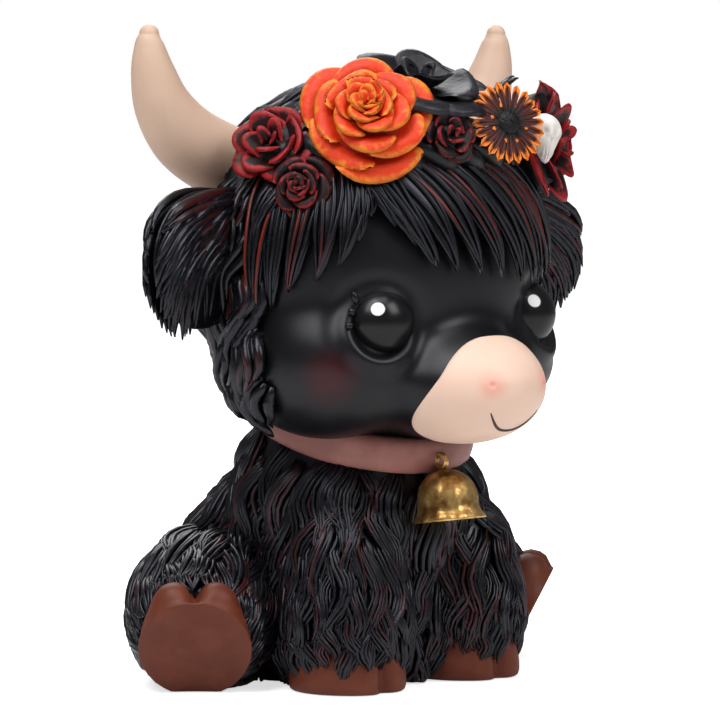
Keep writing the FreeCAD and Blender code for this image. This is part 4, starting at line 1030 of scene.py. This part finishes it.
# The wall's profile, down the outside and up the inside: depths below the dome's top, and radii.
WALL = np.array([(0.0, 0.5), (0.12, 1.3), (0.5, 2.55), (1.2, 3.85), (2.2, 4.95), (3.4, 5.75), (4.8, 6.25),
                 (6.2, 6.45), (7.6, 6.5), (8.6, 6.6), (9.3, 6.95), (9.9, 7.35), (10.5, 7.65), (11.0, 7.7),
                 (11.0, 6.9), (10.2, 6.3), (8.6, 5.2), (8.4, 2.0)])
dome_top = BELL_TOP + HANG * 2.38 + np.array([0, -0.8, 0])
depth, radius = WALL.T
turn = np.linspace(0, 2 * math.pi, 97)[:-1]
dents = 1 + 0.012 * np.sin(5 * turn + 1.1) * np.sin(depth * 0.9)[:, None] + 0.01 * np.sin(11 * turn)
bell_rings = (dome_top + HANG * depth[:, None, None]
              + BELL_AHEAD * (radius[:, None] * dents * np.cos(turn))[..., None]
              + LEFT * (radius[:, None] * dents * np.sin(turn))[..., None])
piece("bell_cast", [skins(bell_rings[None])], gold, "gold_paint", "bell")

# %% The bell's loop
LOOP_RADIUS, LOOP_WIRE = 1.5, 0.62
loop_middle = BELL_TOP + HANG * 0.88
turn = np.linspace(0, 2 * math.pi, 41)[:-1]
loop_out = BELL_AHEAD * np.cos(turn)[:, None] + HANG * np.sin(turn)[:, None]
around = np.linspace(0, 2 * math.pi, 15)[:-1]
loop_rings = ((loop_middle + loop_out * LOOP_RADIUS)[:, None, :]
              + LEFT * (LOOP_WIRE * np.sin(around))[:, None]
              + loop_out[:, None, :] * (LOOP_WIRE * np.cos(around))[:, None])
piece("bell_eye", [hoop(loop_rings)], gold, "gold_paint", "bell_loop")

# %% [markdown]
# The mane covers the back of the head. Hair leaves a whorl at the crown and falls all round,
# long and wavy, down to the nape and the collar.

# %% The mane's shape
MANE = Clay([((0, -16, 88.4), (41.4, 35.3, 38.8)), ((0, -6, 100), (34, 29.5, 27)),
             ((0, -5, 76), (24, 18.5, 30))], foot=(-5.0, 47.6), top=(-6.0, 126.2), girth=76.0,
            shares=(0, 0.05, 0.15, 0.28, 0.42, 0.56, 0.7, 0.83, 0.93, 0.98, 1), depths=(2.4,) * 9 + (1.2, 0))
WHORL = np.array([0, -10.0, 128.0])
FACE_SLANT, FACE_BACK, MANE_FOOT = math.radians(14.0), 12.0, 52.0
NECK_TOP, NECK_DEPTH, NECK_SHRINK = 69, 14, 0.11


def face_plane(points):
    """How far a point is behind the slanting edge where the mane meets the fringe."""
    return points[..., 1] + FACE_BACK + (points[..., 2] - SKULL[0][2]) * math.tan(FACE_SLANT)


def drawn_in(points):
    """The mane narrows towards the collar: x and y shrink by about a ninth."""
    share = 1 - np.clip((NECK_TOP - points[..., 2:]) / NECK_DEPTH, 0, 1) * NECK_SHRINK
    return points * np.concatenate([share, share, np.ones(share.shape)], -1)


core = drawn_in(ball(MANE, (0, -4, 85), 80, 200, -0.5))
core[..., 1] -= np.minimum(face_plane(core), 0)
core[..., 2] = np.maximum(core[..., 2], MANE_FOOT)
mane_shells = [skins(core[None])]
print("mane's core:", core.shape[0], "rings")

# %% The mane's locks
# Each tier: its height on a ball round the head, how many locks, and their length.
MANE_TIERS = ((-0.62, 26, 15), (-0.4, 28, 22), (-0.12, 30, 28), (0.2, 30, 32), (0.5, 28, 32),
              (0.76, 22, 30), (0.92, 15, 28), (0.995, 8, 24))
CROWN_ROWS, CROWN_LOCKS = ((9.0, 17), (1.5, 20)), 15
BROW = Clay([SKULL])


def mane_flow(point, t):
    """Away from the whorl and down, more steeply lower on the head."""
    away = unit((point - WHORL) * np.array([1, 1, 0]))
    return away * np.clip((point[:, 2:] - 96) / 30, 0, 1) + np.array([0, 0.05, -0.9])


def crown_flow(point, t):
    """Away from the whorl, a little down."""
    return unit((point - WHORL) * np.array([1, 1, 0])) + np.array([0, 0, -0.3])


def mane_lift(height):
    """How high the locks of a tier stand: flat on the crown, raised at their tips by the nape."""
    if height > 0.7:
        return (-1.7, -0.6, -0.6)
    return (-1.1, 0.3, 0.2) if height > -0.3 else (-1.1, 0.4, 1.8)


for height, count, length in MANE_TIERS:
    turn = (np.arange(count) + dice.random()) / count * 2 * math.pi
    flat = math.sqrt(1 - height ** 2)
    rays = np.stack([flat * np.sin(turn), flat * np.cos(turn), np.full(count, height)], -1)
    roots = cast_rays(MANE, np.array([0, -6.0, 88.0]), rays)
    roots = roots[face_plane(roots) > -0.5]
    paths, outs = comb(MANE, roots, mane_flow, length + jitter(len(roots), 4), 0.4, 1.0, mane_lift(height))
    mane_shells.append(locks(drawn_in(paths), outs, 7.4 + jitter(len(roots), 1.4), 6, arch=0.2))
turn = np.linspace(-1.5, 1.5, CROWN_LOCKS)
for begin, span in CROWN_ROWS:
    roots = WHORL + np.stack([np.sin(turn), -np.cos(turn), np.zeros(CROWN_LOCKS)], -1) * begin
    paths, outs = comb(BROW, roots, crown_flow, span, 0.22, 0.8, (2.6, 3.0, 1.4))
    mane_shells.append(locks(paths, outs, 7.0, 5, arch=0.2))
piece("mane_locks", mane_shells, coat, "black_coat", "mane")

# %% [markdown]
# The fringe is the smoothest hair: broad sweeping locks that start under the crown of flowers at
# a parting over the right eye. Each lock runs in one bend from its root to its tip, both given on
# the brow, and the next lock lies over it like a roof tile.

# %% The fringe's locks
FRINGE_STEPS, FRINGE_CORDS = 14, 4
LEAST_INSIDE = 0.02


def bend(root, knee, tip, t):
    """A bend with one knee: root (1 - t)^2 + knee 2t (1 - t) + tip t^2."""
    return root * (1 - t) ** 2 + knee * 2 * t * (1 - t) + tip * t ** 2


def on_brow(x, z):
    """The skull's point seen straight from the front: y = y0 - b sqrt(1 - (x / a)^2 - ((z - z0) / c)^2)."""
    (_, middle_y, middle_z), (half_x, half_y, half_z) = SKULL
    inside = max(1 - (x / half_x) ** 2 - ((z - middle_z) / half_z) ** 2, LEAST_INSIDE)
    return x, middle_y - half_y * math.sqrt(inside), z


def swept_lock(root, knee, tip, width, rise):
    """One bend settled onto the brow: a broad lock under a few fine cords."""
    t = np.linspace(0, 1, FRINGE_STEPS)
    root, knee, tip = (np.array(on_brow(*spot)) for spot in (root, knee, tip))
    height = np.interp(t, (0, 0.2, 0.8, 1), (0.2, rise, rise, 0.8))
    flat = settled(BROW, bend(root, knee, tip, t[:, None]), height, 6)
    line, outs = flat[None], outward(BROW, flat)[None]
    return [broad_locks(line, outs, width * 0.92, 0.16 * width),
            locks(line + outs * 0.1 * width, outs, width, FRINGE_CORDS, arch=0.16, uneven=0.12,
                  gather=(0.8, 0.95, 0.7, 0.05), steps=18, sides=8, plump=0.36)]


# %% The fringe
# Each row: root (x, z), knee, tip, width. The parting runs down to x -20, z 99.
LEFT_SWEEP = (
    ((14, 113), (32, 106), (37, 93), 8), ((10, 114), (28, 107), (35, 89), 8),
    ((5, 115), (24, 107), (31, 87), 8), ((0, 115), (19, 106), (26, 86), 8),
    ((18, 112), (35, 107), (38, 97), 7), ((-5, 115), (14, 105), (19, 85), 7.5),
    ((-10, 115), (8, 104), (13, 86), 7.5), ((8, 116), (28, 109), (37, 88), 6),
    ((-14, 115), (2, 103), (6.5, 87), 7), ((-17, 114), (-4, 102), (0, 88), 7),
    ((-19, 113), (-10, 101), (-6, 88.5), 6.5), ((-4, 116), (16, 107), (23, 86), 5),
    ((-20, 112), (-16, 100), (-11, 89.5), 6), ((-20, 110), (-18, 101), (-15, 94), 4.5),
    ((-21, 112), (-20.5, 105), (-18.5, 98), 5))
RIGHT_SWEEP = (
    ((-34, 110), (-38, 98), (-37, 82), 7), ((-31, 111), (-37, 98), (-36.3, 78), 7),
    ((-28, 112), (-34, 100), (-36, 81), 7), ((-26, 112), (-31, 100), (-35, 84.7), 7),
    ((-24, 112), (-28, 100), (-32, 87), 6.5), ((-22, 111), (-24, 101), (-29, 90), 6),
    ((-21, 112), (-22.5, 104), (-25.5, 95), 5.5), ((-20, 112), (-21, 106), (-22.5, 100), 4.5))
LOWEST_RISE, MORE_RISE = 0.8, 1.4
for name, rows in (("left", LEFT_SWEEP), ("right", RIGHT_SWEEP)):
    shells = []
    for k, (root, knee, tip, width) in enumerate(rows):
        shells += swept_lock(root, knee, tip, width, LOWEST_RISE + MORE_RISE * k / len(rows))
    piece(f"fringe_{name}_locks", shells, fringe_coat, "black_coat", f"{name}_fringe")

# %% [markdown]
# Locks hang from the temples along the cheeks down to the collar, and their tips stand off a
# little. They are combed over the smooth head with more disorder than the rest of the coat.

# %% The temples
# Each row of locks: its height, how many, and their length.
TEMPLE_ROWS = ((66, 5, 13), (77, 6, 17), (88, 7, 21), (98, 6, 21), (108, 5, 21))


def temple_flow(point, t):
    """Down, and a little to the back."""
    return np.array([0, 0.14, -1.0])


for name, side in SIDES.items():
    shells = []
    for row, (z, count, length) in enumerate(TEMPLE_ROWS):
        y = np.linspace(-24.5 + (z - 62) * 0.17, -8, count) + row % 2 * 1.4
        start = np.stack([np.full(count, side * 20.0), y, np.full(count, float(z))], -1)
        roots = cast_rays(HEAD, start, side * LEFT)
        length = length + jitter(count, 4)
        paths, outs = comb(HEAD, roots, temple_flow, length, 0.7, 1.2, (-0.2, 1.4, 2.4), wild=0.6)
        shells.append(locks(paths, outs, 5.4 + jitter(count, 1.0), 3, arch=0.5))
    piece(f"temple_{name}", shells, coat, "black_coat", f"{name}_temple_locks")

# %% [markdown]
# The ears droop sideways, scooped in front, with hair that starts at the root, runs over the top
# edge and hangs from the lower one in pointed clumps.

# %% The ears' hair
SWEEP = math.radians(14.0)
# The ragged edge, from the tip round to the lobe: how far out and how far up it lies.
EDGE_PLACES = (0, 0.15, 0.4, 0.65, 0.85, 1)
EDGE_OUT, EDGE_UP = (27.5, 30.3, 29, 24.5, 19, 12), (0, -9, -18, -24, -25.5, -20)
# Each row: its share of the way to the edge, how many locks, their width, how far they bulge.
EAR_ROWS = ((0.97, 12, 6.8, 2.6), (0.77, 10, 6.8, 3.2), (0.5, 8, 6.4, 3.8))
EAR_STEPS, BACKING_WIDTH, BACKING_THICK = 14, 6.2, 1.4
print("locks on each ear:", 2 * sum(row[1] for row in EAR_ROWS))


def ear_frame(side):
    """The ear's root, the way out along it, and the way that its scoop faces."""
    out = np.array([side * math.cos(SWEEP), -math.sin(SWEEP), 0.0])
    ahead = np.array([-side * math.sin(SWEEP), -math.cos(SWEEP), 0.0])
    return np.array([side * 32.7, -8.0, 99.0]), out, ahead


def ear_hair(side):
    """Bends over a lens: from the ear's root to its ragged edge, on both faces."""
    root, out, ahead = ear_frame(side)
    shells = []
    for face in (-1, 1):
        for share, count, width, depth in EAR_ROWS:
            s = (np.arange(count) + 0.5 + jitter(count, 0.2)) / count
            reach = np.interp(s, EDGE_PLACES, EDGE_OUT) * share
            rise = np.interp(s, EDGE_PLACES, EDGE_UP) * share
            start = np.stack([0.5 + 4 * np.sin(s * 3), np.full(count, 1.4), 4.5 - 8 * s], -1)
            end = np.stack([reach, np.full(count, 0.9 * share), rise], -1)
            knee = np.stack([reach, np.full(count, depth + 1.2), rise * 0.2 + 2.4 * (1 - s)], -1)
            t = np.linspace(0, 1, EAR_STEPS)[None, :, None]
            line = bend(start[:, None], knee[:, None], end[:, None], t)
            sway = np.sin(t * 6.5 + 3 * s[:, None, None] + jitter((count, 1, 1), 1.0)) * 1.2 * t
            line = line + sway * np.array([0.6, 0, 0.8])
            if face > 0:
                line[..., 1] -= 1.6 * bell_curve(line[..., 0] - 15, 9) * bell_curve(line[..., 2] + 9, 9)
            world = root + out * line[..., :1] + ahead * line[..., 1:2] * face + UP * line[..., 2:]
            outs = np.broadcast_to(ahead * face, world.shape)
            shells.append(broad_locks(world, outs, BACKING_WIDTH, BACKING_THICK))
            shells.append(locks(world + outs * 0.6, outs, width + jitter(count, 1.2), 4, arch=0.2,
                                uneven=0.12, gather=(0.7, 1.0, 0.85, 0.15), steps=11, plump=0.56))
    return shells


# %% The ears
LENS_OUT, LENS_UP, LENS_THICK = 16.5, 14.5, 2.2
for name, side in SIDES.items():
    root, out, ahead = ear_frame(side)
    middle = root + out * 12.5 + UP * -8.0
    fall, turn = (np.arange(24) + 0.5) / 24 * math.pi, np.arange(40) / 40 * 2 * math.pi
    lens = (middle + out * (LENS_OUT * np.sin(fall)[:, None] * np.cos(turn))[..., None]
            + UP * (LENS_UP * np.sin(fall)[:, None] * np.sin(turn))[..., None]
            + ahead * (LENS_THICK * np.cos(fall))[:, None, None])
    piece(f"ear_{name}_hair", [skins(lens[None])] + ear_hair(side), coat, "black_coat", f"{name}_ear")

# %% [markdown]
# The tail lies against the rump and ends in a tuft on the ground. It is out of sight in the
# photograph, so it follows what such a calf has.

# %% The tail
TAIL_ROOT, TAIL_KNEE = np.array([0, 24, 24.0]), np.array([3.4, 38.5, 24.0])
TAIL_TIP, TUFT_REACH = np.array([17.7, 28.6, 5.0]), np.array([13.0, -3.4, -1.2])
TUFT_LOCKS = 16
t = np.linspace(0, 1, 24)[:, None]
tail_line = bend(TAIL_ROOT, TAIL_KNEE, TAIL_TIP, t)
piece("tail_cord", [skins(tube(tail_line, 3.2 - 0.9 * t[:, 0], 20))], coat, "black_coat", "tail")
turn = np.arange(TUFT_LOCKS) * GOLDEN
spread = np.stack([np.cos(turn) * 0.3, np.sin(turn), np.sin(turn * 1.7) * 0.8], -1)
start = tail_line[-6] + spread * 1.6
end = tail_line[-1] + TUFT_REACH + spread * np.array([4.0, 3.0, 2.2])
knee = tail_line[-1] + spread * 3.6
tuft = bend(start[:, None], knee[:, None], end[:, None], np.linspace(0, 1, 12)[None, :, None])
piece("tail_brush", [locks(tuft, unit(tuft - tail_line[-1]), 3.6, 4)], coat, "black_coat", "tail_tuft")

# %% [markdown]
# Petals are patches bent round a flower's axis. Across a petal the angle changes, along it the
# radius and height do. A skin on both sides, closed at its edges, gives the petal a thickness.
# The paint reads how far along its petal a point lies, so that a dry brush can catch the edges.

# %% Petals
BAND_MIDDLE, BAND_RADIUS = np.array([0, -10.0, 113.0]), 31.5
print("radius of the crown's band:", BAND_RADIUS, "mm")


def flower_frame(angle, stand, rise, facing, tilt):
    """Where a flower sits on the band, and its axes: two across and one along its facing.

    The angle goes round from the front to the calf's right, stand is how far the flower stands off
    the band, rise how far over it, and facing and tilt are the degrees that it looks round and up.
    """
    turn = math.radians(angle)
    spot = BAND_MIDDLE + np.array([-math.sin(turn), -math.cos(turn), 0]) * (BAND_RADIUS + stand) + UP * rise
    look, lift = math.radians(facing), math.radians(tilt)
    axis = np.array([-math.sin(look) * math.cos(lift), -math.cos(look) * math.cos(lift), math.sin(lift)])
    across = unit(np.cross(UP, axis))
    return spot, across, np.cross(axis, across), axis


def set_in(points, place):
    """Points of a flower, modelled round +Z at the origin, moved to its place on the crown."""
    spot, across, upward, axis = place
    return spot + points[..., :1] * across + points[..., 1:2] * upward + points[..., 2:] * axis


def petals(shape, count, place, thickness, along, wide):
    """Skins of petals. shape(u, v, k) gives angle, radius and height for petal k of count."""
    u = np.linspace(-1, 1, wide)[None, None, :]
    v = np.linspace(0, 1, along)[None, :, None]
    k = np.arange(count)[:, None, None]
    angle, radius, height = np.broadcast_arrays(*shape(u, v, k))
    front = np.stack([radius * np.cos(angle), radius * np.sin(angle), height], -1)
    normal = unit(np.cross(np.gradient(front, axis=1), np.gradient(front, axis=2)))
    thin = np.sqrt(np.clip(1 - u ** 2, 0, 1)) * (0.35 + 0.65 * np.sqrt(np.clip((1 - v) * 4, 0, 1)))
    back = front + normal * (thickness * thin)[..., None]
    rings = set_in(np.concatenate([front, back[:, :, ::-1]], 2), place)
    values = np.zeros(rings.shape)
    values[..., 0] = np.concatenate([np.abs(u), np.abs(u[..., ::-1])], -1)
    values[..., 1] = v
    values[..., 2] = k / count
    return skins(rings, values)


# %% Roses
# The petals of a rose from bud to rim, one column each. The rows after the first are shares of
# the rose's radius, but for the angle.
ROSE_LAYERS = np.array([
    (0, 3, 8, 13, 18, 24),  # petals so far
    (0.03, 0.06, 0.12, 0.2, 0.3, 0.42),  # how far out a petal's base is
    (0.1, 0.17, 0.34, 0.52, 0.76, 1.0),  # how far out its top is
    (0.34, 0.3, 0.16, 0.02, -0.14, -0.3),  # height of its base
    (0.5, 0.56, 0.52, 0.42, 0.24, -0.02),  # height of its top
    (1.9, 1.5, 1.15, 0.95, 0.86, 0.8),  # half the angle that it spans
    (0.0, 0.02, 0.06, 0.1, 0.13, 0.14)])  # how far its lip rolls out
print("petals of a rose:", int(ROSE_LAYERS[0, -1]))


def rose_petals(radius, place, count=24, layers=ROSE_LAYERS, ruffle=0.03, thickness=0.8, point=0.0):
    """Petals on a golden-angle spiral, read from the layers: cups, round on top, with rolled lips."""

    def shape(u, v, k):
        so_far = k * (layers[0, -1] / count)
        low, high, foot, brim, span, roll = (np.interp(so_far, layers[0], row) for row in layers[1:])
        rounded = v * (1 - 0.2 * np.abs(u) ** 2.4 - point * np.abs(u))
        outline = np.sqrt(np.sin(math.pi * (0.12 + 0.56 * v)))
        lip = np.clip((rounded - 0.62) / 0.38, 0, 1) ** 2
        reach = low + (high - low) * (1 - (1 - rounded) ** 1.7) + roll * lip + 0.035 * u
        height = foot + (brim - foot) * rounded ** 1.25 - roll * 1.25 * lip
        wave = ruffle * np.sin(3 * u + 2.1 * k) * v ** 2
        return k * GOLDEN + span * u * outline, radius * (reach + wave), radius * (height + wave)

    return petals(shape, count, place, thickness, 14, 15)


def cup(radius, place):
    """The cup under a flower: a cone with its back rounded, on the root of a stem."""
    height = np.array([-9.0, -8.9, -6.0, -3.0 - radius * 0.1, -radius * 0.22, radius * 0.02, radius * 0.1])
    wide = np.array([0.5, 1.2, 1.3, radius * 0.3, radius * 0.62, radius * 0.66, radius * 0.3])
    turn = np.arange(24) / 24 * 2 * math.pi
    rings = np.stack([wide[:, None] * np.cos(turn), wide[:, None] * np.sin(turn),
                      height[:, None] * np.ones(24)], -1)
    return skins(set_in(rings, place)[None])


# %% [markdown]
# Five petal paints: orange with yellow edges, and black with crimson, wine or ember edges, or
# with a faint grey on the rims that is a painted sheen. All read the distance along the petal, so
# the edge colour sits on the rim wherever the petal points, and a noise breaks its inner border
# up as a dry brush does.


# %% Petal paints
def petal_paint(name, deep, body, rim, rim_start, strength=1.0, spread=0.6, grain=0.3, rough=0.44):
    """deep in the throat, body over the petal, rim on its edge: three colours by the length."""
    paint = Paint(name, specular_ior_level=0.3)
    sideways, along = paint.form()[:2]
    ragged = (paint.noise(330, 5, roughness=0.65) - 0.5) * spread
    edge = (along + sideways.between(0.7, 1.0) * 0.2 + ragged).between(rim_start, rim_start + 0.2)
    colour = paint.blend(along.between(0.1, 0.55), deep, body)
    colour = paint.blend(edge * strength, colour, rim)
    paint.set(base_color=colour, roughness=rough + paint.noise(200) * 0.14,
              normal=paint.relief(paint.noise(190, 4), grain, 0.7))
    return paint


ORANGE_THROAT, ORANGE, YELLOW = (0.36, 0.012, 0.004), (0.74, 0.046, 0.008), (0.84, 0.3, 0.025)
THROAT, CRIMSON, WINE = (0.003, 0.002, 0.003), (0.33, 0.01, 0.013), (0.27, 0.008, 0.01)
EMBER_THROAT, EMBER_BODY, EMBER = (0.004, 0.003, 0.003), (0.06, 0.008, 0.004), (0.8, 0.2, 0.016)
# The last colour in this row is a painted sheen for the edges of the black petals and leaves.
BLACK_THROAT, BLACK, PAINTED_SHEEN_RIM = (0.004, 0.004, 0.006), (0.008, 0.008, 0.012), (0.07, 0.06, 0.075)
orange_paint = petal_paint("orange_petals", ORANGE_THROAT, ORANGE, YELLOW, 0.84, 0.75, 0.75, 1.1)
crimson_paint = petal_paint("crimson_petals", THROAT, (0.016, 0.002, 0.003), CRIMSON, 0.68, 0.9, 0.9, 0.6)
wine_paint = petal_paint("wine_petals", THROAT, (0.009, 0.002, 0.003), WINE, 0.84, 0.85, 0.8, 0.5)
ember_paint = petal_paint("ember_petals", EMBER_THROAT, EMBER_BODY, EMBER, 0.74, 0.95)
# The grey rim of the black petals is a painted sheen: a highlight on their edges, put in as colour.
black_paint = petal_paint("black_petals", BLACK_THROAT, BLACK, PAINTED_SHEEN_RIM, 0.85, 0.4, 0.8, 0.6, 0.3)
petal_paints = (orange_paint, crimson_paint, wine_paint, ember_paint, black_paint)
print("petal paints:", [paint.material.name for paint in petal_paints])

# %% [markdown]
# The crown: an orange rose leads, with smaller dark roses and open flowers on both sides, a black
# bloom on top, a daisy and a little white charm. Each flower is the same spiral of petals, with
# its own layers: few and wide ones for the open flowers, many and close ones for the rose.

# %% The crown's flowers
OPEN_LAYERS = np.array([(0, 2, 6, 11, 15), (0.04, 0.08, 0.16, 0.24, 0.3), (0.2, 0.34, 0.7, 0.92, 1.02),
                        (0.1, 0.06, -0.06, -0.16, -0.2), (0.42, 0.44, 0.34, 0.16, 0.06),
                        (1.1, 1.0, 0.86, 0.76, 0.7), (0.0, 0.02, 0.05, 0.08, 0.08)])
POPPY_LAYERS = np.array([(0, 2, 4, 7, 11), (0.04, 0.06, 0.1, 0.14, 0.16), (0.2, 0.38, 0.72, 0.92, 0.96),
                         (0.1, 0.06, 0.02, -0.02, -0.04), (0.34, 0.4, 0.34, 0.2, 0.14),
                         (1.2, 1.1, 0.95, 0.85, 0.8), (0.0, 0.03, 0.08, 0.12, 0.12)])


def flower(name, place, cup_radius, radius, paint, slot, node, **form):
    """One flower of the crown: its cup and its spiral of petals, at a place as flower_frame reads it."""
    spot = flower_frame(*place)
    piece(name, [cup(cup_radius, spot), rose_petals(radius, spot, **form)], paint, slot, node)


flower("rose_orange", (38.6, 1.0, 7.8, 40.0, 31.0), 13.4, 13.8, orange_paint, "orange_petals", "orange_rose",
       ruffle=0.05, thickness=1.1)
flower("rose_small", (60.0, 6.4, -6.6, 50.0, 8.0), 6.6, 6.8, wine_paint, "red_petals", "small_rose",
       count=17, ruffle=0.045)
flower("rose_dark", (9.0, 4.0, 4.0, 16.0, 14.0), 6.0, 5.9, wine_paint, "red_petals", "dark_rose",
       count=12, layers=OPEN_LAYERS, ruffle=0.05)
flower("peony_right", (73.5, 2.4, 2.0, 64.0, 24.0), 9.4, 8.9, crimson_paint, "red_petals", "right_peony",
       count=14, layers=OPEN_LAYERS, ruffle=0.07, thickness=1.0, point=0.12)
flower("peony_left", (-49.5, 8.8, 2.2, -32.0, 6.0), 16.0, 13.6, crimson_paint, "red_petals", "left_peony",
       count=14, layers=OPEN_LAYERS, ruffle=0.08, thickness=1.0, point=0.1)
flower("poppy_black", (7.0, -9.0, 13.2, 12.0, 67.0), 13.0, 14.8, black_paint, "black_petals", "black_poppy",
       count=11, layers=POPPY_LAYERS, ruffle=0.05, thickness=1.0)

# %% [markdown]
# The daisy has two wheels of narrow grooved petals round a domed disc of tiny florets.

# %% The daisy
DISC_RADIUS, DISC_FOOT, DISC_RISE = 2.6, 1.0, 1.5
daisy_place = flower_frame(-12.5, 6.8, 6.2, 12.0, 16.0)


def daisy_wheel(radius, count, droop):
    """A wheel of narrow petals: round at the tip, grooved by cos(pi u), and drooping with v^2."""

    def shape(u, v, k):
        outline = np.sqrt(np.clip(1 - np.clip((v - 0.8) / 0.2, 0, 1) ** 2, 0, 1)) * (0.45 + 0.55 * v)
        reach = radius * (0.2 + 0.8 * v)
        angle = k * 2 * math.pi / count + u * outline * radius * 0.115 / reach
        height = radius * (0.1 - 0.1 * v ** 2 * droop - 0.04 * np.cos(math.pi * u))
        return angle, reach, height + 0.15 * np.sin(k * 2.4)

    return petals(shape, count, daisy_place, 0.6, 10, 7)


fall, turn = np.linspace(0.05, math.pi / 2, 14), np.arange(48) / 48 * 2 * math.pi
florets = 1 + 0.07 * np.sin(12 * turn) * np.sin(fall * 9)[:, None]
disc = np.stack([DISC_RADIUS * np.sin(fall)[:, None] * np.cos(turn) * florets,
                 DISC_RADIUS * np.sin(fall)[:, None] * np.sin(turn) * florets,
                 DISC_FOOT + DISC_RISE * np.cos(fall)[:, None] * florets], -1)
daisy = [daisy_wheel(8.9, 22, 0.5), daisy_wheel(4.6, 20, -1.2), skins(set_in(disc, daisy_place)[None]),
         cup(4.0, daisy_place)]
piece("daisy_bloom", daisy, ember_paint, "daisy_petals", "daisy")

# %% [markdown]
# The white charm is a plain small skull: a round crown drawn in at the jaw, with two eye hollows,
# a nose and a row of teeth, all pressed into one ball by bell curves.

# %% The charm
CHARM_HALVES = np.array([3.7, 4.0, 3.7])
# Two eyes and a nose: their direction, depth and width.
HOLLOWS = (((0.42, 0.02, 0.9), 1.1, 0.27), ((-0.42, 0.02, 0.9), 1.1, 0.27), ((0, -0.36, 0.94), 0.6, 0.13))
charm_place = flower_frame(-29.5, 10.2, 4.2, 16.0, 4.0)
fall, turn = (np.arange(60) + 0.5) / 60 * math.pi, np.arange(90) / 90 * 2 * math.pi
rays = np.stack([np.sin(fall)[:, None] * np.sin(turn), np.cos(fall)[:, None] * np.ones(90),
                 np.sin(fall)[:, None] * np.cos(turn)], -1)
jaw = np.clip(-rays[..., 1] - 0.15, 0, 1)
skull = rays * CHARM_HALVES * (1 + np.stack([-0.55 * jaw, 0.75 * jaw, -0.25 * jaw], -1))
for hollow, depth, width in HOLLOWS:
    gap = np.linalg.norm(rays - unit(np.array(hollow)), axis=-1)
    skull = skull - rays * (depth * bell_curve(gap, width))[..., None]
teeth = 0.14 * np.cos(rays[..., 0] * 26) * bell_curve(rays[..., 1] + 0.78, 0.12) * (rays[..., 2] > 0)
skull = skull + rays * teeth[..., None]
ivory = Paint("ivory", specular_ior_level=0.35, roughness=0.5)
yellowed = ivory.noise(300, 4).between(0.4, 0.7)
ivory.set(base_color=ivory.blend(yellowed, (0.8, 0.76, 0.72), (0.66, 0.6, 0.57)),
          normal=ivory.relief(ivory.noise(500), 0.1, 0.4))
piece("charm_skull", [skins(set_in(skull, charm_place)[None])], ivory, "ivory_charm", "skull_charm")

# %% [markdown]
# Behind the flowers a band of twisted stems runs round the front of the head, and dark leaves
# stand up between the blooms, each a pointed petal with V-shaped veins.

# %% The band
STRANDS, TWIST_RADIUS, STEM_RADIUS = 3, 2.2, 2.3
turn = np.radians(np.linspace(-80, 80, 90))
strands = []
for k in range(STRANDS):
    twist = 9 * turn + k * 2 * math.pi / STRANDS
    reach = BAND_RADIUS + TWIST_RADIUS * np.cos(twist)
    line = np.stack([-np.sin(turn) * reach, -np.cos(turn) * reach, TWIST_RADIUS * np.sin(twist)], -1)
    strands.append(skins(tube(BAND_MIDDLE + line, np.full(90, STEM_RADIUS), 14)))
piece("band_stems", strands, black_paint, "black_petals", "crown_band")

# %% The leaves
LEAF_LENGTH = 10.5
LEAVES = ((-38.0, -3.0, 7.5, -25.0, 46.0), (-68.0, -2.0, 7.5, -60.0, 48.0), (22.0, -8.0, 9.0, 28.0, 62.0))


def leaf(place):
    """A pointed petal: as wide as sin(pi v)^0.8, arched by sin(2.6 v), with veins as a fine wave."""

    def shape(u, v, k):
        outline = np.sin(math.pi * np.clip(0.06 + 0.93 * v, 0, 1)) ** 0.8
        reach = LEAF_LENGTH * (0.02 + 0.98 * v)
        angle = u * outline * 0.3 * LEAF_LENGTH / (reach + 2.5)
        arch = LEAF_LENGTH * (0.16 * np.sin(2.6 * v) + 0.05 * u ** 2)
        return angle, reach, arch - 0.3 * np.abs(np.sin(7 * (v - 0.3 * np.abs(u))))

    return petals(shape, 1, place, 0.8, 22, 15)


leaves = []
for place in LEAVES:
    spot, across, upward, axis = flower_frame(*place)
    leaves.append(leaf((spot, axis, across, upward)))
# The leaves take the black petal paint, so their edges carry its painted grey sheen.
piece("leaves_black", leaves, black_paint, "black_petals", "crown_leaves")
